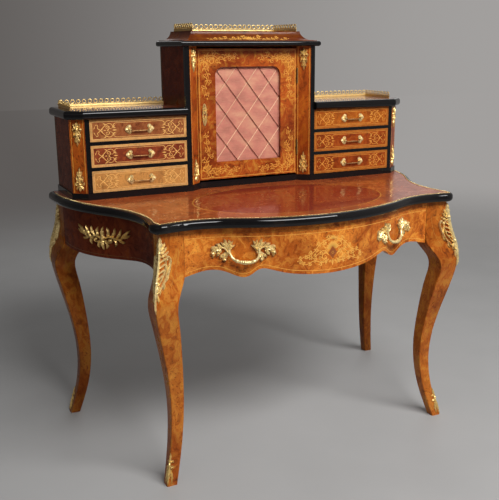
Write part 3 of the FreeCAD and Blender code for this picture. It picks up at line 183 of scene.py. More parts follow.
class DeskColours(PropertyGroup):
    """Colours of the woods, metals, cloth and floor."""

    burr_dark: FloatVectorProperty(
        name="Burr dark", description="Darkest figure of the burr walnut", subtype="COLOR",
        default=(0.15, 0.030, 0.006))
    burr_mid: FloatVectorProperty(
        name="Burr", description="Main tone of the burr walnut", subtype="COLOR",
        default=(0.55, 0.135, 0.014))
    burr_light: FloatVectorProperty(
        name="Burr light", description="Palest figure of the burr walnut", subtype="COLOR",
        default=(0.76, 0.28, 0.04))
    red_mid: FloatVectorProperty(
        name="Red walnut", description="Main tone of the redder veneer", subtype="COLOR",
        default=(0.20, 0.035, 0.013))
    red_light: FloatVectorProperty(
        name="Red walnut light", description="Palest figure of the redder veneer",
        subtype="COLOR", default=(0.36, 0.078, 0.024))
    # This banding's paleness is partly its own tone and partly painted sheen on the left-hand bank
    band_mid: FloatVectorProperty(
        name="Crossbanding", description="Pale banding round the left-hand small drawers",
        subtype="COLOR", default=(0.58, 0.30, 0.10))
    boxwood: FloatVectorProperty(
        name="Boxwood", description="Pale wood of the marquetry and stringing", subtype="COLOR",
        default=(0.80, 0.39, 0.065))
    ebony: FloatVectorProperty(
        name="Ebonised wood", description="Black of the mouldings", subtype="COLOR",
        default=(0.004, 0.0036, 0.004))
    plain: FloatVectorProperty(
        name="Plain wood", description="Carcass and drawer linings", subtype="COLOR",
        default=(0.30, 0.14, 0.05))
    gilt: FloatVectorProperty(
        name="Gilt bronze", description="Bright gilding of the mounts", subtype="COLOR",
        default=(0.98, 0.75, 0.34))
    brass: FloatVectorProperty(
        name="Brass", description="Galleries and lock", subtype="COLOR",
        default=(0.88, 0.63, 0.25))
    silk: FloatVectorProperty(
        name="Silk", description="Silk behind the lattice", subtype="COLOR",
        default=(0.56, 0.205, 0.145))
    floor: FloatVectorProperty(
        name="Floor", description="Studio floor", subtype="COLOR", default=(0.37, 0.365, 0.36))
    backdrop: FloatVectorProperty(
        name="Backdrop", description="Studio background", subtype="COLOR",
        default=(0.36, 0.347, 0.338))
    backdrop_shade: FloatVectorProperty(
        name="Backdrop in shade", description="Backdrop on the side away from the light",
        subtype="COLOR", default=(0.11, 0.101, 0.096))


class DeskSizes(PropertyGroup):
    """Sizes of the inlay and the repeated ornament."""

    inlay_rise: FloatProperty(
        name="Inlay rise", description="Height of the marquetry over the veneer",
        default=0.00012, unit="LENGTH")
    string_width: FloatProperty(
        name="Stringing width", description="Width of the pale lines", default=0.0013,
        unit="LENGTH")
    bead_radius: FloatProperty(
        name="Bead radius", description="Gilt beads inside the table moulding", default=0.0015,
        unit="LENGTH")
    bead_pitch: FloatProperty(
        name="Bead pitch", description="Distance between beads", default=0.0042, unit="LENGTH")
    gallery_pitch: FloatProperty(
        name="Gallery pitch", description="Distance between the loops of a gallery",
        default=0.0175, unit="LENGTH")
    gallery_wire: FloatProperty(
        name="Gallery wire", description="Thickness of the pierced brass", default=0.0016,
        unit="LENGTH")
    leg_round: FloatProperty(
        name="Leg rounding", description="Softening of the leg arrises", default=0.004,
        unit="LENGTH")
    lattice_width: FloatProperty(
        name="Lattice width", description="Width of a lattice strip", default=0.003,
        unit="LENGTH")
    leg_steps: IntProperty(
        name="Leg steps", description="Rings along a leg", default=72, min=12, max=200)


class DeskStudio(PropertyGroup):
    """Lamps of the studio."""

    key_power: FloatProperty(
        name="Key lamp", description="Soft lamp at the front right", default=188.0, unit="POWER")
    fill_power: FloatProperty(
        name="Fill lamp", description="Soft lamp at the front left", default=2.5, unit="POWER")
    back_power: FloatProperty(
        name="Back lamp", description="Soft lamp behind on the right", default=18.0,
        unit="POWER")
    air_light: FloatProperty(
        name="Air light", description="Even light from all round", default=0.15, min=0.0,
        max=2.0)


def colours():
    return bpy.context.scene.desk_colours


def sizes():
    return bpy.context.scene.desk_sizes


def in_mm(value):
    return value / MM


def add_object(name, data):
    """A new object in the scene."""
    item = bpy.data.objects.new(name, data)
    bpy.context.scene.collection.objects.link(item)
    return item


def shade(colour, factor=1.0):
    return (colour[0] * factor, colour[1] * factor, colour[2] * factor, 1.0)


class Nodes:
    """A node tree whose nodes are added and joined by short calls."""

    def __init__(self, tree):
        self.tree = tree

    def put(self, node, socket, value):
        target = node.inputs[socket]
        if isinstance(value, bpy.types.NodeSocket):
            self.tree.links.new(value, target)
        else:
            target.default_value = value

    def add(self, kind, *joins, **settings):
        node = self.tree.nodes.new(kind if "Node" in kind else "ShaderNode" + kind)
        for key, value in settings.items():
            setattr(node, key, value)
        for socket, value in joins:
            self.put(node, socket, value)
        return node

    def mix(self, share, first, second, blend="MIX"):
        node = self.add("Mix", (0, share), (6, first), (7, second), data_type="RGBA",
                        blend_type=blend)
        return node.outputs[2]

    def maths(self, operation, *values):
        return self.add("Math", *enumerate(values), operation=operation).outputs[0]

    def step(self, value, low, high):
        joins = ((0, value), (1, low), (2, high), (3, 0.0), (4, 1.0))
        return self.add("MapRange", *joins, interpolation_type="SMOOTHSTEP").outputs[0]

    def seen(self, *kinds):
        """Whether the camera, or a ray of another of these kinds, looks."""
        rays = self.add("LightPath").outputs
        either = rays["Is Camera Ray"]
        for kind in kinds:
            either = self.maths("MAXIMUM", either, rays[f"Is {kind} Ray"])
        return either

    def sweep(self, heading):
        """Backdrop tone that grows paler to the right."""
        across = self.add("SeparateXYZ", (0, heading)).outputs[0]
        tint = colours()
        return self.mix(self.step(across, *SWEEP), shade(tint.backdrop_shade),
                        shade(tint.backdrop))


class Finish(Nodes):
    """A material on the piece's own coordinates."""

    def __init__(self, name):
        self.material = bpy.data.materials.new(name)
        self.material.use_nodes = True
        super().__init__(self.material.node_tree)
        self.shader = self.tree.nodes["Principled BSDF"]

    def ramp(self, value, *stops):
        node = self.add("ValToRGB", (0, value))
        marks = node.color_ramp.elements
        while len(marks) < len(stops):
            marks.new(0.5)
        for mark, (place, colour) in zip(marks, stops):
            mark.position = place
            mark.color = (*colour[:3], 1.0)
        return node.outputs[0]

    def noise(self, place, scale, detail=3.0, rough=0.5, twist=0.0):
        joins = (("Vector", place), ("Scale", scale), ("Detail", detail), ("Roughness", rough),
                 ("Distortion", twist))
        return self.add("TexNoise", *joins).outputs

    def where(self):
        return self.add("TexCoord").outputs["Object"]

    def axes(self):
        return self.add("SeparateXYZ", (0, self.where())).outputs

    def place(self, scale=(1.0, 1.0, 1.0), turn=(0.0, 0.0, 0.0)):
        joins = (("Vector", self.where()), ("Rotation", turn), ("Scale", scale))
        return self.add("Mapping", *joins).outputs[0]

    def rise(self):
        """Height share that the piece's own corners carry."""
        return self.add("Attribute", attribute_name="rise").outputs["Fac"]

    def paint(self, colour, value, first, last, start=0.3):
        """Colour, and a roughness that runs from first to last as value rises."""
        self.put(self.shader, "Base Color", colour)
        self.put(self.shader, "Roughness",
                 self.ramp(value, (start, (first,) * 3), (0.7, (last,) * 3)))

    def bump(self, height, strength, depth):
        node = self.add("Bump", ("Height", height), ("Strength", strength), ("Distance", depth))
        self.put(self.shader, "Normal", node.outputs[0])

    def constant(self, **values):
        for key, value in values.items():
            self.shader.inputs[key.replace("_", " ")].default_value = value


# Scales of the burr's figure, and the tones of its clouded ground
BEND_SCALE = 11.0
BEND_REACH = (0.075, 0.075, 0.075)
SWIRL_SCALE = 30.0
CLOUD_SCALE = 5.5
EYE_SCALE = 105.0
CLUSTER_SCALE = 8.5
PORE_SCALE = 520.0
BURR_TURN = (0.3, 0.2)
EYE_STRENGTH = 0.72
RING_STRENGTH = 0.22
cloud_tones = ((0.33, (0.55, 0.42, 0.36)), (0.5, (0.96, 0.93, 0.9)), (0.66, (1.12, 1.16, 1.1)))


def burr(tones, strengths, figure, lean, clouding=0.5, polish=0.35, smear=0.03,
         drawn=(1.0, 1.0, 1.0), pattern=None, *, name):
    """Polished burr veneer: clouded ground, swirling figure, clusters of eyes and fine pores."""
    dark, mid, light = (shade(*pair) for pair in zip(tones, strengths))
    make = Finish(name)
    place = make.place(drawn, (*BURR_TURN, lean))
    bend = make.noise(place, BEND_SCALE * figure, 3.0, 0.55)["Color"]
    bent = make.add("VectorMath", (0, bend), (1, BEND_REACH), (2, place),
                    operation="MULTIPLY_ADD").outputs[0]
    swirl = make.noise(bent, SWIRL_SCALE * figure, 7.0, 0.62, 0.9)["Fac"]
    tone = make.ramp(swirl, (0.29, shade(dark, 1.2)), (0.42, shade(mid, 0.8)),
                     (0.50, shade(mid)), (0.60, shade(light, 0.84)), (0.72, shade(light, 1.05)))
    clouds = make.noise(place, CLOUD_SCALE * figure, 2.0)["Fac"]
    tone = make.mix(clouding, tone, make.ramp(clouds, *cloud_tones), "MULTIPLY")
    cells = make.add("TexVoronoi", ("Vector", bent), ("Scale", EYE_SCALE * figure),
                     ("Randomness", 1.0)).outputs["Distance"]
    cluster = make.step(make.noise(place, CLUSTER_SCALE * figure, 2.0)["Fac"], 0.50, 0.62)
    eyes = make.maths("MULTIPLY", make.step(cells, 0.30, 0.10), cluster)
    tone = make.mix(make.maths("MULTIPLY", eyes, EYE_STRENGTH), tone, shade(dark, 0.8))
    rings = make.maths("MULTIPLY", make.step(cells, 0.30, 0.42), cluster)
    tone = make.mix(make.maths("MULTIPLY", rings, RING_STRENGTH), tone, shade(light, 1.1))
    pores = make.noise(bent, PORE_SCALE, 2.0, 0.6)["Fac"]
    tone = make.mix(make.step(pores, 0.58, 0.68), tone, make.mix(0.5, tone, shade(dark, 0.9)))
    if pattern is not None:
        tone = pattern(make, tone)
    make.paint(tone, swirl, 0.36, 0.24)
    make.bump(make.maths("ADD", pores, swirl), 0.05, 0.0006)
    make.constant(Specular_IOR_Level=0.04 + 0.2 * polish, Coat_Weight=polish,
                  Coat_Roughness=smear, Coat_IOR=1.5)
    return make.material


OVAL_RED = (0.20, 0.017, 0.008, 1.0)
OVAL_STRENGTH = 0.88
OVAL_EDGE = (1.003, 0.997)
OVAL_LINE = (0.0075, 0.0045)
OVAL_LINE_STRENGTH = 0.6


def oval_field(make, tone):
    """The redder oval of the writing surface inside its pale line."""
    x, y, _ = make.axes()
    across = make.maths("MULTIPLY", x, 1.0 / (OVAL_REACH[0] * MM))
    deep = make.maths("MULTIPLY", make.maths("SUBTRACT", y, OVAL_Y * MM),
                      1.0 / (OVAL_REACH[1] * MM))
    squares = (make.maths("POWER", across, 2.0), make.maths("POWER", deep, 2.0))
    reach = make.maths("SQRT", make.maths("ADD", *squares))
    inside = make.maths("MULTIPLY", make.step(reach, *OVAL_EDGE), OVAL_STRENGTH)
    tone = make.mix(inside, tone, OVAL_RED)
    off = make.maths("ABSOLUTE", make.maths("SUBTRACT", reach, 1.0))
    line = make.maths("MULTIPLY", make.step(off, *OVAL_LINE), OVAL_LINE_STRENGTH)
    return make.mix(line, tone, shade(colours().boxwood, 0.9))


def drawer_faces(make, tone):
    """Veneer on the front of a small drawer and plain lining wood behind it."""
    depths = [(FRONT_Y + depth) * MM for depth in VENEER_DEPTHS]
    behind = make.step(make.axes()[1], *depths)
    grain = make.noise(make.place((40.0, 6.0, 60.0)), 4.0, 4.0)["Fac"]
    plain = colours().plain
    lining = make.ramp(grain, (0.35, shade(plain, 0.75)), (0.65, shade(plain, 1.3)))
    return make.mix(behind, tone, lining)


def plain_wood(tone, darker=1.0, *, name):
    """Straight grained wood, its grain along the board whether it stands or lies."""
    make = Finish(name)
    standing, lying = (make.noise(make.place(drawn), 9.0, 5.0, 0.6, 0.6)["Fac"]
                       for drawn in ((2.5, 2.5, 26.0), (2.5, 26.0, 2.5)))
    up = make.add("SeparateXYZ", (0, make.add("TexCoord").outputs["Normal"])).outputs[2]
    flat = make.step(make.maths("ABSOLUTE", up), 0.5, 0.7)
    turn = make.maths("MULTIPLY", flat, make.maths("SUBTRACT", lying, standing))
    grain = make.maths("ADD", standing, turn)
    fine = make.noise(make.place((60.0, 60.0, 700.0)), 4.0, 2.0)["Fac"]
    colour = make.ramp(grain, (0.32, shade(tone, 0.55 * darker)), (0.5, shade(tone, darker)),
                       (0.68, shade(tone, 1.35 * darker)))
    colour = make.mix(make.step(fine, 0.55, 0.7), colour,
                      make.mix(0.4, colour, shade(tone, 0.3)))
    make.paint(colour, grain, 0.62, 0.48)
    make.bump(fine, 0.12, 0.0006)
    make.constant(Specular_IOR_Level=0.3)
    return make.material


def ebonised(tone, *, name):
    """Black polished wood, a little brown where it is rubbed."""
    make = Finish(name)
    grain = make.noise(make.place((18.0, 18.0, 160.0)), 5.0, 4.0)["Fac"]
    wear = make.noise(make.place(), 16.0, 4.0, 0.6)["Fac"]
    rubbed = make.maths("MULTIPLY", make.step(wear, 0.6, 0.75), 0.5)
    colour = make.ramp(grain, (0.3, shade(tone, 0.7)), (0.7, shade(tone, 1.5)))
    colour = make.mix(rubbed, colour, (0.02, 0.012, 0.008, 1.0))
    make.paint(colour, wear, 0.10, 0.18, 0.35)
    make.bump(grain, 0.02, 0.0004)
    make.constant(Specular_IOR_Level=0.03, Coat_Weight=0.6, Coat_Roughness=0.04)
    return make.material


def gilt_metal(tone, worn, relief=True, rough=0.26, metal=0.8, *, name):
    """Gilt or lacquered metal: bright on the high parts, browner in the hollows."""
    make = Finish(name)
    tarnish = make.noise(make.place(), 190.0, 4.0, 0.6)["Fac"]
    hammer = make.noise(make.place(), 900.0, 2.0)["Fac"]
    colour = make.ramp(tarnish, (0.28, shade(worn, 1.4)), (0.46, shade(tone, 0.88)),
                       (0.7, shade(tone, 1.04)))
    if relief:
        hollow = make.maths("MULTIPLY", make.step(make.rise(), 0.75, 0.05), 0.55)
        colour = make.mix(hollow, colour, shade(worn, 1.1))
    make.paint(colour, tarnish, rough + 0.16, rough)
    make.bump(hammer, 0.10, 0.0005)
    make.constant(Metallic=metal, Specular_IOR_Level=0.4)
    return make.material


def inlay_wood(tone, *, name):
    """Boxwood marquetry with hot sand shading towards the roots of the leaves."""
    make = Finish(name)
    grain = make.noise(make.place((90.0, 90.0, 300.0)), 3.0, 3.0)["Fac"]
    colour = make.ramp(make.rise(), (0.0, shade(tone, 0.42)), (0.35, shade(tone, 0.85)),
                       (1.0, shade(tone, 1.1)))
    fibres = make.ramp(grain, (0.3, (0.45, 0.4, 0.35)), (0.7, (1.0, 1.0, 1.0)))
    make.paint(make.mix(0.22, colour, fibres, "MULTIPLY"), grain, 0.38, 0.28)
    make.constant(Specular_IOR_Level=0.35, Coat_Weight=0.35, Coat_Roughness=0.08)
    return make.material


def silk_cloth(tone, *, name):
    """Pink silk with crossing threads, slubs and soft bands of light."""
    make = Finish(name)
    joins = (("Scale", 420.0), ("Distortion", 0.6), ("Detail", 1.0))
    weft, warp = (make.add("TexWave", ("Vector", make.place()), *joins,
                           bands_direction=axis).outputs["Fac"] for axis in "ZX")
    slub = make.noise(make.place((30.0, 30.0, 420.0)), 2.0, 3.0)["Fac"]
    bloom = make.noise(make.place((20.0, 20.0, 34.0)), 1.0, 3.0)["Fac"]
    glow, thread = ([level * lift for level, lift in zip(tone, lifts)] + [1.0]
                    for lifts in ((1.12, 1.5, 1.3), (1.1, 1.75, 1.5)))
    colour = make.ramp(bloom, (0.3, shade(tone, 0.78)), (0.5, shade(tone)), (0.7, glow))
    colour = make.mix(make.maths("MULTIPLY", make.step(slub, 0.52, 0.7), 0.35), colour, thread)
    cross = make.maths("ADD", weft, warp)
    weave = make.ramp(cross, (0.4, (0.7, 0.7, 0.7)), (1.0, (1.1, 1.1, 1.1)))
    make.paint(make.mix(0.25, colour, weave, "MULTIPLY"), slub, 0.6, 0.46)
    make.bump(make.maths("ADD", cross, slub), 0.25, 0.0004)
    make.constant(Sheen_Weight=0.35, Sheen_Roughness=0.4, Specular_IOR_Level=0.3)
    return make.material


finishes = {}


def finish(name):
    """The finish of that name, made the first time it is asked for."""
    if name in finishes:
        return finishes[name]
    tint = colours()
    dark, mid, light = walnut = (tint.burr_dark, tint.burr_mid, tint.burr_light)
    red, rose, band = tint.red_mid, tint.red_light, tint.band_mid
    amber, straw, umber = (0.60, 0.11, 0.014), (0.54, 0.245, 0.065), (0.22, 0.11, 0.028)
    full = (1.0, 1.0, 1.0)
    leg = partial(burr, walnut, figure=1.5, lean=0.2, clouding=0.95, drawn=(1.0, 1.0, 0.6))
    side = partial(burr, (red, red, rose), figure=1.2, lean=0.9)
    upright = partial(burr, (dark, amber, mid), lean=0.3, polish=0.15)
    drawer = partial(burr, figure=1.7, lean=0.4, pattern=drawer_faces)
    banding = partial(burr, figure=1.6, lean=0.2, clouding=0.25)
    smooth_metal = partial(gilt_metal, relief=False)
    makers = {
        "frieze_burr": partial(burr, walnut, (0.8, 0.98, 1.02), figure=1.5, lean=0.5,
                               clouding=0.75, polish=0.22),
        "leg_burr": partial(leg, (0.7, 0.76, 0.76), polish=0.22),
        # The rear legs' darker copy of the leg veneer is painted shade from the table top above
        # them
        "rear_leg_burr": partial(leg, (0.5, 0.5, 0.48), polish=0.1),
        # Side veneer: its redder tone is the veneer's own, and its extra darkness is painted shade
        "side_burr": partial(side, (0.22, 0.68, 0.6), polish=0.0),
        "unit_top_burr": partial(side, (0.35, 1.0, 1.0), polish=0.9),
        "table_burr": partial(
            burr, ((0.13, 0.026, 0.010), (0.34, 0.066, 0.015), (0.46, 0.115, 0.028)), full,
            figure=1.2, lean=0.1, polish=0.5, smear=0.06, pattern=oval_field),
        "door_burr": partial(burr, (dark, amber, light), (0.4, 0.66, 0.76), figure=1.5,
                             lean=0.7, clouding=1.0),
        "pilaster_burr": partial(upright, (0.5, 0.6, 0.95), figure=1.3, clouding=1.0,
                                 drawn=(1.0, 1.0, 0.5)),
        "cove_burr": partial(upright, (0.3, 0.22, 0.34), figure=2.0, clouding=0.9,
                             drawn=(0.5, 1.0, 1.0)),
        "drawer_burr": partial(drawer, (dark, (0.27, 0.075, 0.024), (0.38, 0.14, 0.045)),
                               (0.5, 1.0, 1.0), clouding=0.7),
        "dark_drawer_burr": partial(drawer, (dark, red, rose), (0.42, 1.05, 0.95),
                                    clouding=0.7),
        # Bottom left drawer: its pale straw tone is painted sheen, not a paler veneer
        "pale_drawer_burr": partial(drawer, (straw,) * 3, (0.4, 0.95, 1.2), clouding=0.6),
        "warm_drawer_burr": partial(
            drawer, (dark, (0.37, 0.082, 0.009), (0.50, 0.155, 0.019)), (0.6, 1.0, 1.0),
            clouding=0.7, polish=0.15),
        "russet_drawer_burr": partial(
            drawer, (dark, (0.28, 0.046, 0.007), (0.40, 0.088, 0.012)), (0.5, 1.0, 1.0),
            clouding=0.7, polish=0.15),
        "warm_crossband": partial(
            banding, ((0.22, 0.060, 0.010), (0.40, 0.120, 0.018), (0.50, 0.175, 0.03)), full,
            polish=0.15),
        "crossband": partial(banding, (band,) * 3, (0.6, 1.0, 1.25)),
        "lining": partial(plain_wood, tint.plain),
        "carcass": partial(plain_wood, tint.plain, darker=0.45),
        "ebonised": partial(ebonised, tint.ebony),
        "ormolu": partial(gilt_metal, tint.gilt, umber, metal=0.55),
        "deep_ormolu": partial(gilt_metal, (0.95, 0.66, 0.24), (0.16, 0.07, 0.015), metal=0.7),
        "gilt_plain": partial(smooth_metal, tint.gilt, umber, metal=0.7),
        "brass": partial(smooth_metal, tint.brass, (0.5, 0.3, 0.09), rough=0.36),
        # Dark gilt of the bails: painted shade and painted dark reflection on the thin bars
        "worn_gilt": partial(smooth_metal, (0.34, 0.19, 0.07), (0.10, 0.05, 0.02), rough=0.3),
        "old_brass": partial(smooth_metal, (0.20, 0.12, 0.05), (0.07, 0.04, 0.02), rough=0.4),
        # Shaded and lit copies of one brass for the two lattice layers: painted shade on one,
        # painted highlight on the other
        "bronze": partial(smooth_metal, (0.24, 0.06, 0.04), (0.14, 0.035, 0.025), rough=0.5),
        "pale_brass": partial(smooth_metal, (0.86, 0.56, 0.36), (0.70, 0.42, 0.27), rough=0.62,
                              metal=0.4),
        "boxwood": partial(inlay_wood, tint.boxwood),
        "pale_boxwood": partial(inlay_wood, (0.82, 0.46, 0.13)),
        "warm_boxwood": partial(inlay_wood, (0.72, 0.31, 0.045)),
        "dim_boxwood": partial(inlay_wood, shade(tint.boxwood, 0.55)),
        "rosewood": partial(inlay_wood, (0.26, 0.062, 0.010)),
        "silk": partial(silk_cloth, tint.silk),
    }
    finishes[name] = makers[name](name=name)
    return finishes[name]


SHARP_TURN = math.radians(50)


class Form:
    """Corners and faces gathered for one piece, with a height share at each corner."""

    def __init__(self):
        self.corners = []
        self.faces = []
        self.rises = []
        self.kinds = []

    def rings(self, rows, rises, kind=0):
        """Closed skin through rows of points, each row a ring, with both ends capped."""
        start = len(self.corners)
        count = len(rows[0])
        for row, levels in zip(rows, rises):
            self.corners.extend(row)
            self.rises.extend(levels)
        for i in range(len(rows) - 1):
            low = start + i * count
            for j in range(count):
                k = (j + 1) % count
                self.faces.append((low + j, low + k, low + count + k, low + count + j))
        last = start + (len(rows) - 1) * count
        self.faces.append(tuple(range(start + count - 1, start - 1, -1)))
        self.faces.append(tuple(range(last, last + count)))
        self.kinds.extend([kind] * (len(self.faces) - len(self.kinds)))

    def piece(self, name, materials, body, slot, *replaced, smooth=True):
        """The finished piece, with its faces turned outward."""
        mesh = bpy.data.meshes.new(name)
        mesh.from_pydata([Vector(c) * MM for c in self.corners], [], self.faces)
        mesh.attributes.new("rise", "FLOAT", "POINT").data.foreach_set("value", self.rises)
        for material in materials:
            mesh.materials.append(finish(material))
        mesh.polygons.foreach_set("material_index", self.kinds)
        work = bmesh.new()
        work.from_mesh(mesh)
        bmesh.ops.recalc_face_normals(work, faces=work.faces)
        work.to_mesh(mesh)
        work.free()
        if smooth:
            mesh.shade_smooth()
            mesh.set_sharp_from_angle(angle=SHARP_TURN)
        return settle(name, mesh, body, slot, *replaced)


def settle(name, mesh, body, slot, *replaced):
    """A finished piece on the body it rides on, with the nodes it stands for hidden; its slot is
    not used.
    """
    item = add_object(name, mesh)
    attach(item, body)
    if replaced:
        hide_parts(*replaced)
    return item


def cubic(marks, values, places):
    """Natural cubic through values at marks, read at places."""
    marks = np.asarray(marks, float)
    values = np.asarray(values, float)
    count = len(marks)
    gaps = np.diff(marks)
    flat = values.reshape(count, -1)
    system = np.eye(count)
    target = np.zeros_like(flat)
    for i in range(1, count - 1):
        system[i, i - 1:i + 2] = (gaps[i - 1], 2 * (gaps[i - 1] + gaps[i]), gaps[i])
        target[i] = 6 * ((flat[i + 1] - flat[i]) / gaps[i]
                         - (flat[i] - flat[i - 1]) / gaps[i - 1])
    bends = np.linalg.solve(system, target)
    places = np.atleast_1d(np.asarray(places, float))
    seat = np.clip(np.searchsorted(marks, places) - 1, 0, count - 2)
    gap = gaps[seat][:, None]
    after = (places - marks[seat])[:, None] / gap
    before = 1 - after
    result = before * flat[seat] + after * flat[seat + 1]
    bend = (before ** 3 - before) * bends[seat] + (after ** 3 - after) * bends[seat + 1]
    return (result + bend * gap ** 2 / 6).reshape((len(places),) + values.shape[1:])


def flowing(points, count):
    """Even points along a smooth line through the given ones."""
    points = np.asarray(points, float)
    if len(points) == 2:
        return points[0] + (points[1] - points[0]) * np.linspace(0, 1, count)[:, None]
    runs = np.linalg.norm(np.diff(points, axis=0), axis=1)
    steps = np.concatenate(([0], np.cumsum(runs)))
    return cubic(steps, points, np.linspace(0, steps[-1], count))


def spread(values, count):
    """A few values along a line, read at count even places."""
    return np.interp(np.linspace(0, 1, count), np.linspace(0, 1, len(values)), values)


def around(count):
    """Even angles round a full turn."""
    return np.linspace(0, 2 * math.pi, count, False)


def heading_of(angle):
    return np.array((math.cos(angle), math.sin(angle)))


def front_y(x, inset=FRIEZE_INSET):
    """Face of the front, set in from the table's edge, at a distance from the middle."""
    x = abs(x)
    bow = BOW_RADIUS - inset
    reach = math.hypot(HOLLOW_MIDDLE[0], HOLLOW_MIDDLE[1] - BOW_MIDDLE)
    if x <= bow * HOLLOW_MIDDLE[0] / reach:
        return BOW_MIDDLE - math.sqrt(bow ** 2 - x ** 2)
    hollow = HOLLOW_RADIUS + inset
    return HOLLOW_MIDDLE[1] + math.sqrt(hollow ** 2 - (x - HOLLOW_MIDDLE[0]) ** 2)


def side_x(y, inset=FRIEZE_INSET):
    """Face of a side, set in from the table's edge, at a depth."""
    swell = SWELL_RADIUS - inset
    reach = math.hypot(WAIST_MIDDLE[0] - SWELL_MIDDLE[0], WAIST_MIDDLE[1] - SWELL_MIDDLE[1])
    turn = SWELL_MIDDLE[1] + swell * (WAIST_MIDDLE[1] - SWELL_MIDDLE[1]) / reach
    if y >= SWELL_MIDDLE[1]:
        return HALF_WIDTH - inset
    if y >= turn:
        return SWELL_MIDDLE[0] + math.sqrt(swell ** 2 - (y - SWELL_MIDDLE[1]) ** 2)
    return WAIST_MIDDLE[0] - math.sqrt((WAIST_RADIUS + inset) ** 2 - (y - WAIST_MIDDLE[1]) ** 2)


def slope_of(face, u):
    """Slope of a face at a place, and the length of a step along it."""
    slope = face(u + 0.5) - face(u - 0.5)
    return slope, math.hypot(1, slope)


# Each mapping below takes a place across and up a face, and a height off it, to a point
def on_front(u, v, h):
    slope, size = slope_of(front_y, u)
    return (u + h * slope / size, front_y(u) - h / size, v)


def on_side(side):
    def put(u, v, h):
        slope, size = slope_of(side_x, u)
        return (side * (side_x(u) + h / size), u - h * slope / size, v)
    return put


def on_plane(origin, across=(1.0, 0.0, 0.0), out=(0.0, -1.0, 0.0), up=(0.0, 0.0, 1.0)):
    origin, across, out, up = (np.asarray(item, float) for item in (origin, across, out, up))

    def put(u, v, h):
        return tuple(origin + across * u + up * v + out * h)
    return put


leg_stations = [share * LEG_TOP for share in leg_heights]


def leg_corners(rear):
    """Arris, front face end, inner corner and side face end of a right leg at each station."""
    top, post, back = (REAR_ARRIS, REAR_POST, 1) if rear else (FRONT_ARRIS, FRONT_POST, -1)
    flush = (side_x(post[1]), top[1] if rear else front_y(post[0]))
    rows = []
    for swell, width, blend in zip(leg_swells, leg_widths, leg_blends):
        x = top[0] + swell
        y = top[1] + back * swell
        face_x = x + (flush[0] - x) * blend
        face_y = y + (flush[1] - y) * blend
        inner = (x - width, y - back * width)
        rows.append(((x, y), (inner[0], face_y), inner, (face_x, inner[1])))
    return np.asarray(rows)


leg_tables = {rear: leg_corners(rear) for rear in (False, True)}


def on_leg(rear, side):
    """Places a point by its distance from the arris, to the front or rear when positive."""
    def put(u, v, h):
        arris, front, inner, flank = cubic(leg_stations, leg_tables[rear], v)[0]
        ways = []
        outs = []
        for end in (front, flank):
            way = (end - arris) / np.linalg.norm(end - arris)
            out = np.array((way[1], -way[0]))
            ways.append(way)
            outs.append(out * np.sign(np.dot(out, arris - inner)))
        spot = arris + ways[0] * max(u, 0.0) + ways[1] * max(-u, 0.0)
        share = min(max(u / ARRIS_TURN, -1.0), 1.0) / 2 + 0.5
        out = outs[0] * share + outs[1] * (1 - share)
        spot = spot + out / np.linalg.norm(out) * h
        return (side * spot[0], spot[1], v)
    return put


def mirrored(points, side, flip=1):
    """Points turned to one side of the middle, or upside down."""
    return [(side * u, flip * v) for u, v in points]


# Depths below a face, and below a leg's softened arris, at which relief starts
GROUND = -0.3
DEEP = -1.6
ROD_THIN = 0.55
rod_arch = np.sin(np.linspace(0, math.pi, 7))
leaf_section = np.array((0.0, 0.62, 0.9, 0.72, 1.0, 0.72, 0.9, 0.62, 0.0))
dome_steps = (0.0, 0.35, 0.7, 0.92, 0.995)


def relief(form, place, line, halves, heights, rises, ground=GROUND, kind=0):
    """Closed ribbon along a line, with its own height at each column across it."""
    heading = np.gradient(line, axis=0)
    heading /= np.linalg.norm(heading, axis=1)[:, None] + TINY
    aside = np.stack((-heading[:, 1], heading[:, 0]), 1)
    columns = np.linspace(-1, 1, heights.shape[1])
    rows = []
    for spot, way, half, levels in zip(line, aside, halves, heights):
        rows.append([place(*(spot + way * half * c), max(level, ground))
                     for c, level in zip(columns, levels)])
    form.rings(rows, rises.tolist(), kind)


def rod(form, place, points, halves, height, count, ground=GROUND):
    """Half-round rib along a smooth line, lower where it is thin."""
    widths = spread(halves, count)
    crest = height * (ROD_THIN + (1 - ROD_THIN) * widths / max(halves))
    heights = ground + (crest - ground)[:, None] * rod_arch
    rises = np.tile(rod_arch, (count, 1))
    relief(form, place, flowing(points, count), widths, heights, rises, ground)


def leaf(form, place, spine, half, height, lobes, count, ground=GROUND, lift=0.0):
    """Acanthus leaf: lobed edge, ribbed sides and a raised middle vein."""
    run = np.linspace(0, 1, count)
    swell = np.sin(math.pi * np.clip(run * 0.94 + 0.06, 0, 1) ** 0.75) ** 0.8
    lobe = np.abs(np.sin(math.pi * lobes * run + 0.5))
    halves = np.maximum(half * swell * (0.70 + 0.30 * lobe), 0.25)
    body = np.outer((0.35 + 0.65 * swell) * (0.78 + 0.22 * lobe), leaf_section)
    heights = ground + (height - ground) * body + np.outer(lift * run ** 2, leaf_section > 0)
    relief(form, place, flowing(spine, count), halves, heights, body / body.max(), ground)


def boss(form, place, u, v, across, up, height, sides=14, ground=GROUND):
    """Domed oval bead."""
    rows = []
    rises = []
    for step in dome_steps:
        lift = math.sqrt(1 - (1 - step) ** 2)
        level = ground + (height - ground) * lift
        rows.append([place(u + across * math.cos(a) * (1 - step),
                           v + up * math.sin(a) * (1 - step), level) for a in around(sides)])
        rises.append([lift] * sides)
    form.rings(rows, rises)


def carve(form, place, side=1, leaves=(), rods=(), bosses=(), ground=GROUND, lift=0.0, flip=1):
    """Leaves, ribs and beads of a mount from its tables, turned to one side of its middle."""
    for spine, *shape in leaves:
        leaf(form, place, mirrored(spine, side, flip), *shape, ground, lift)
    for points, *shape in rods:
        rod(form, place, mirrored(points, side, flip), *shape, ground)
    for u, v, *shape in bosses:
        boss(form, place, side * u, flip * v, *shape, ground=ground)


CURL_STEPS = 16
CURL_TIGHT = 0.22
CURL_EASE = 1.15
INLAY_TONE = 0.9


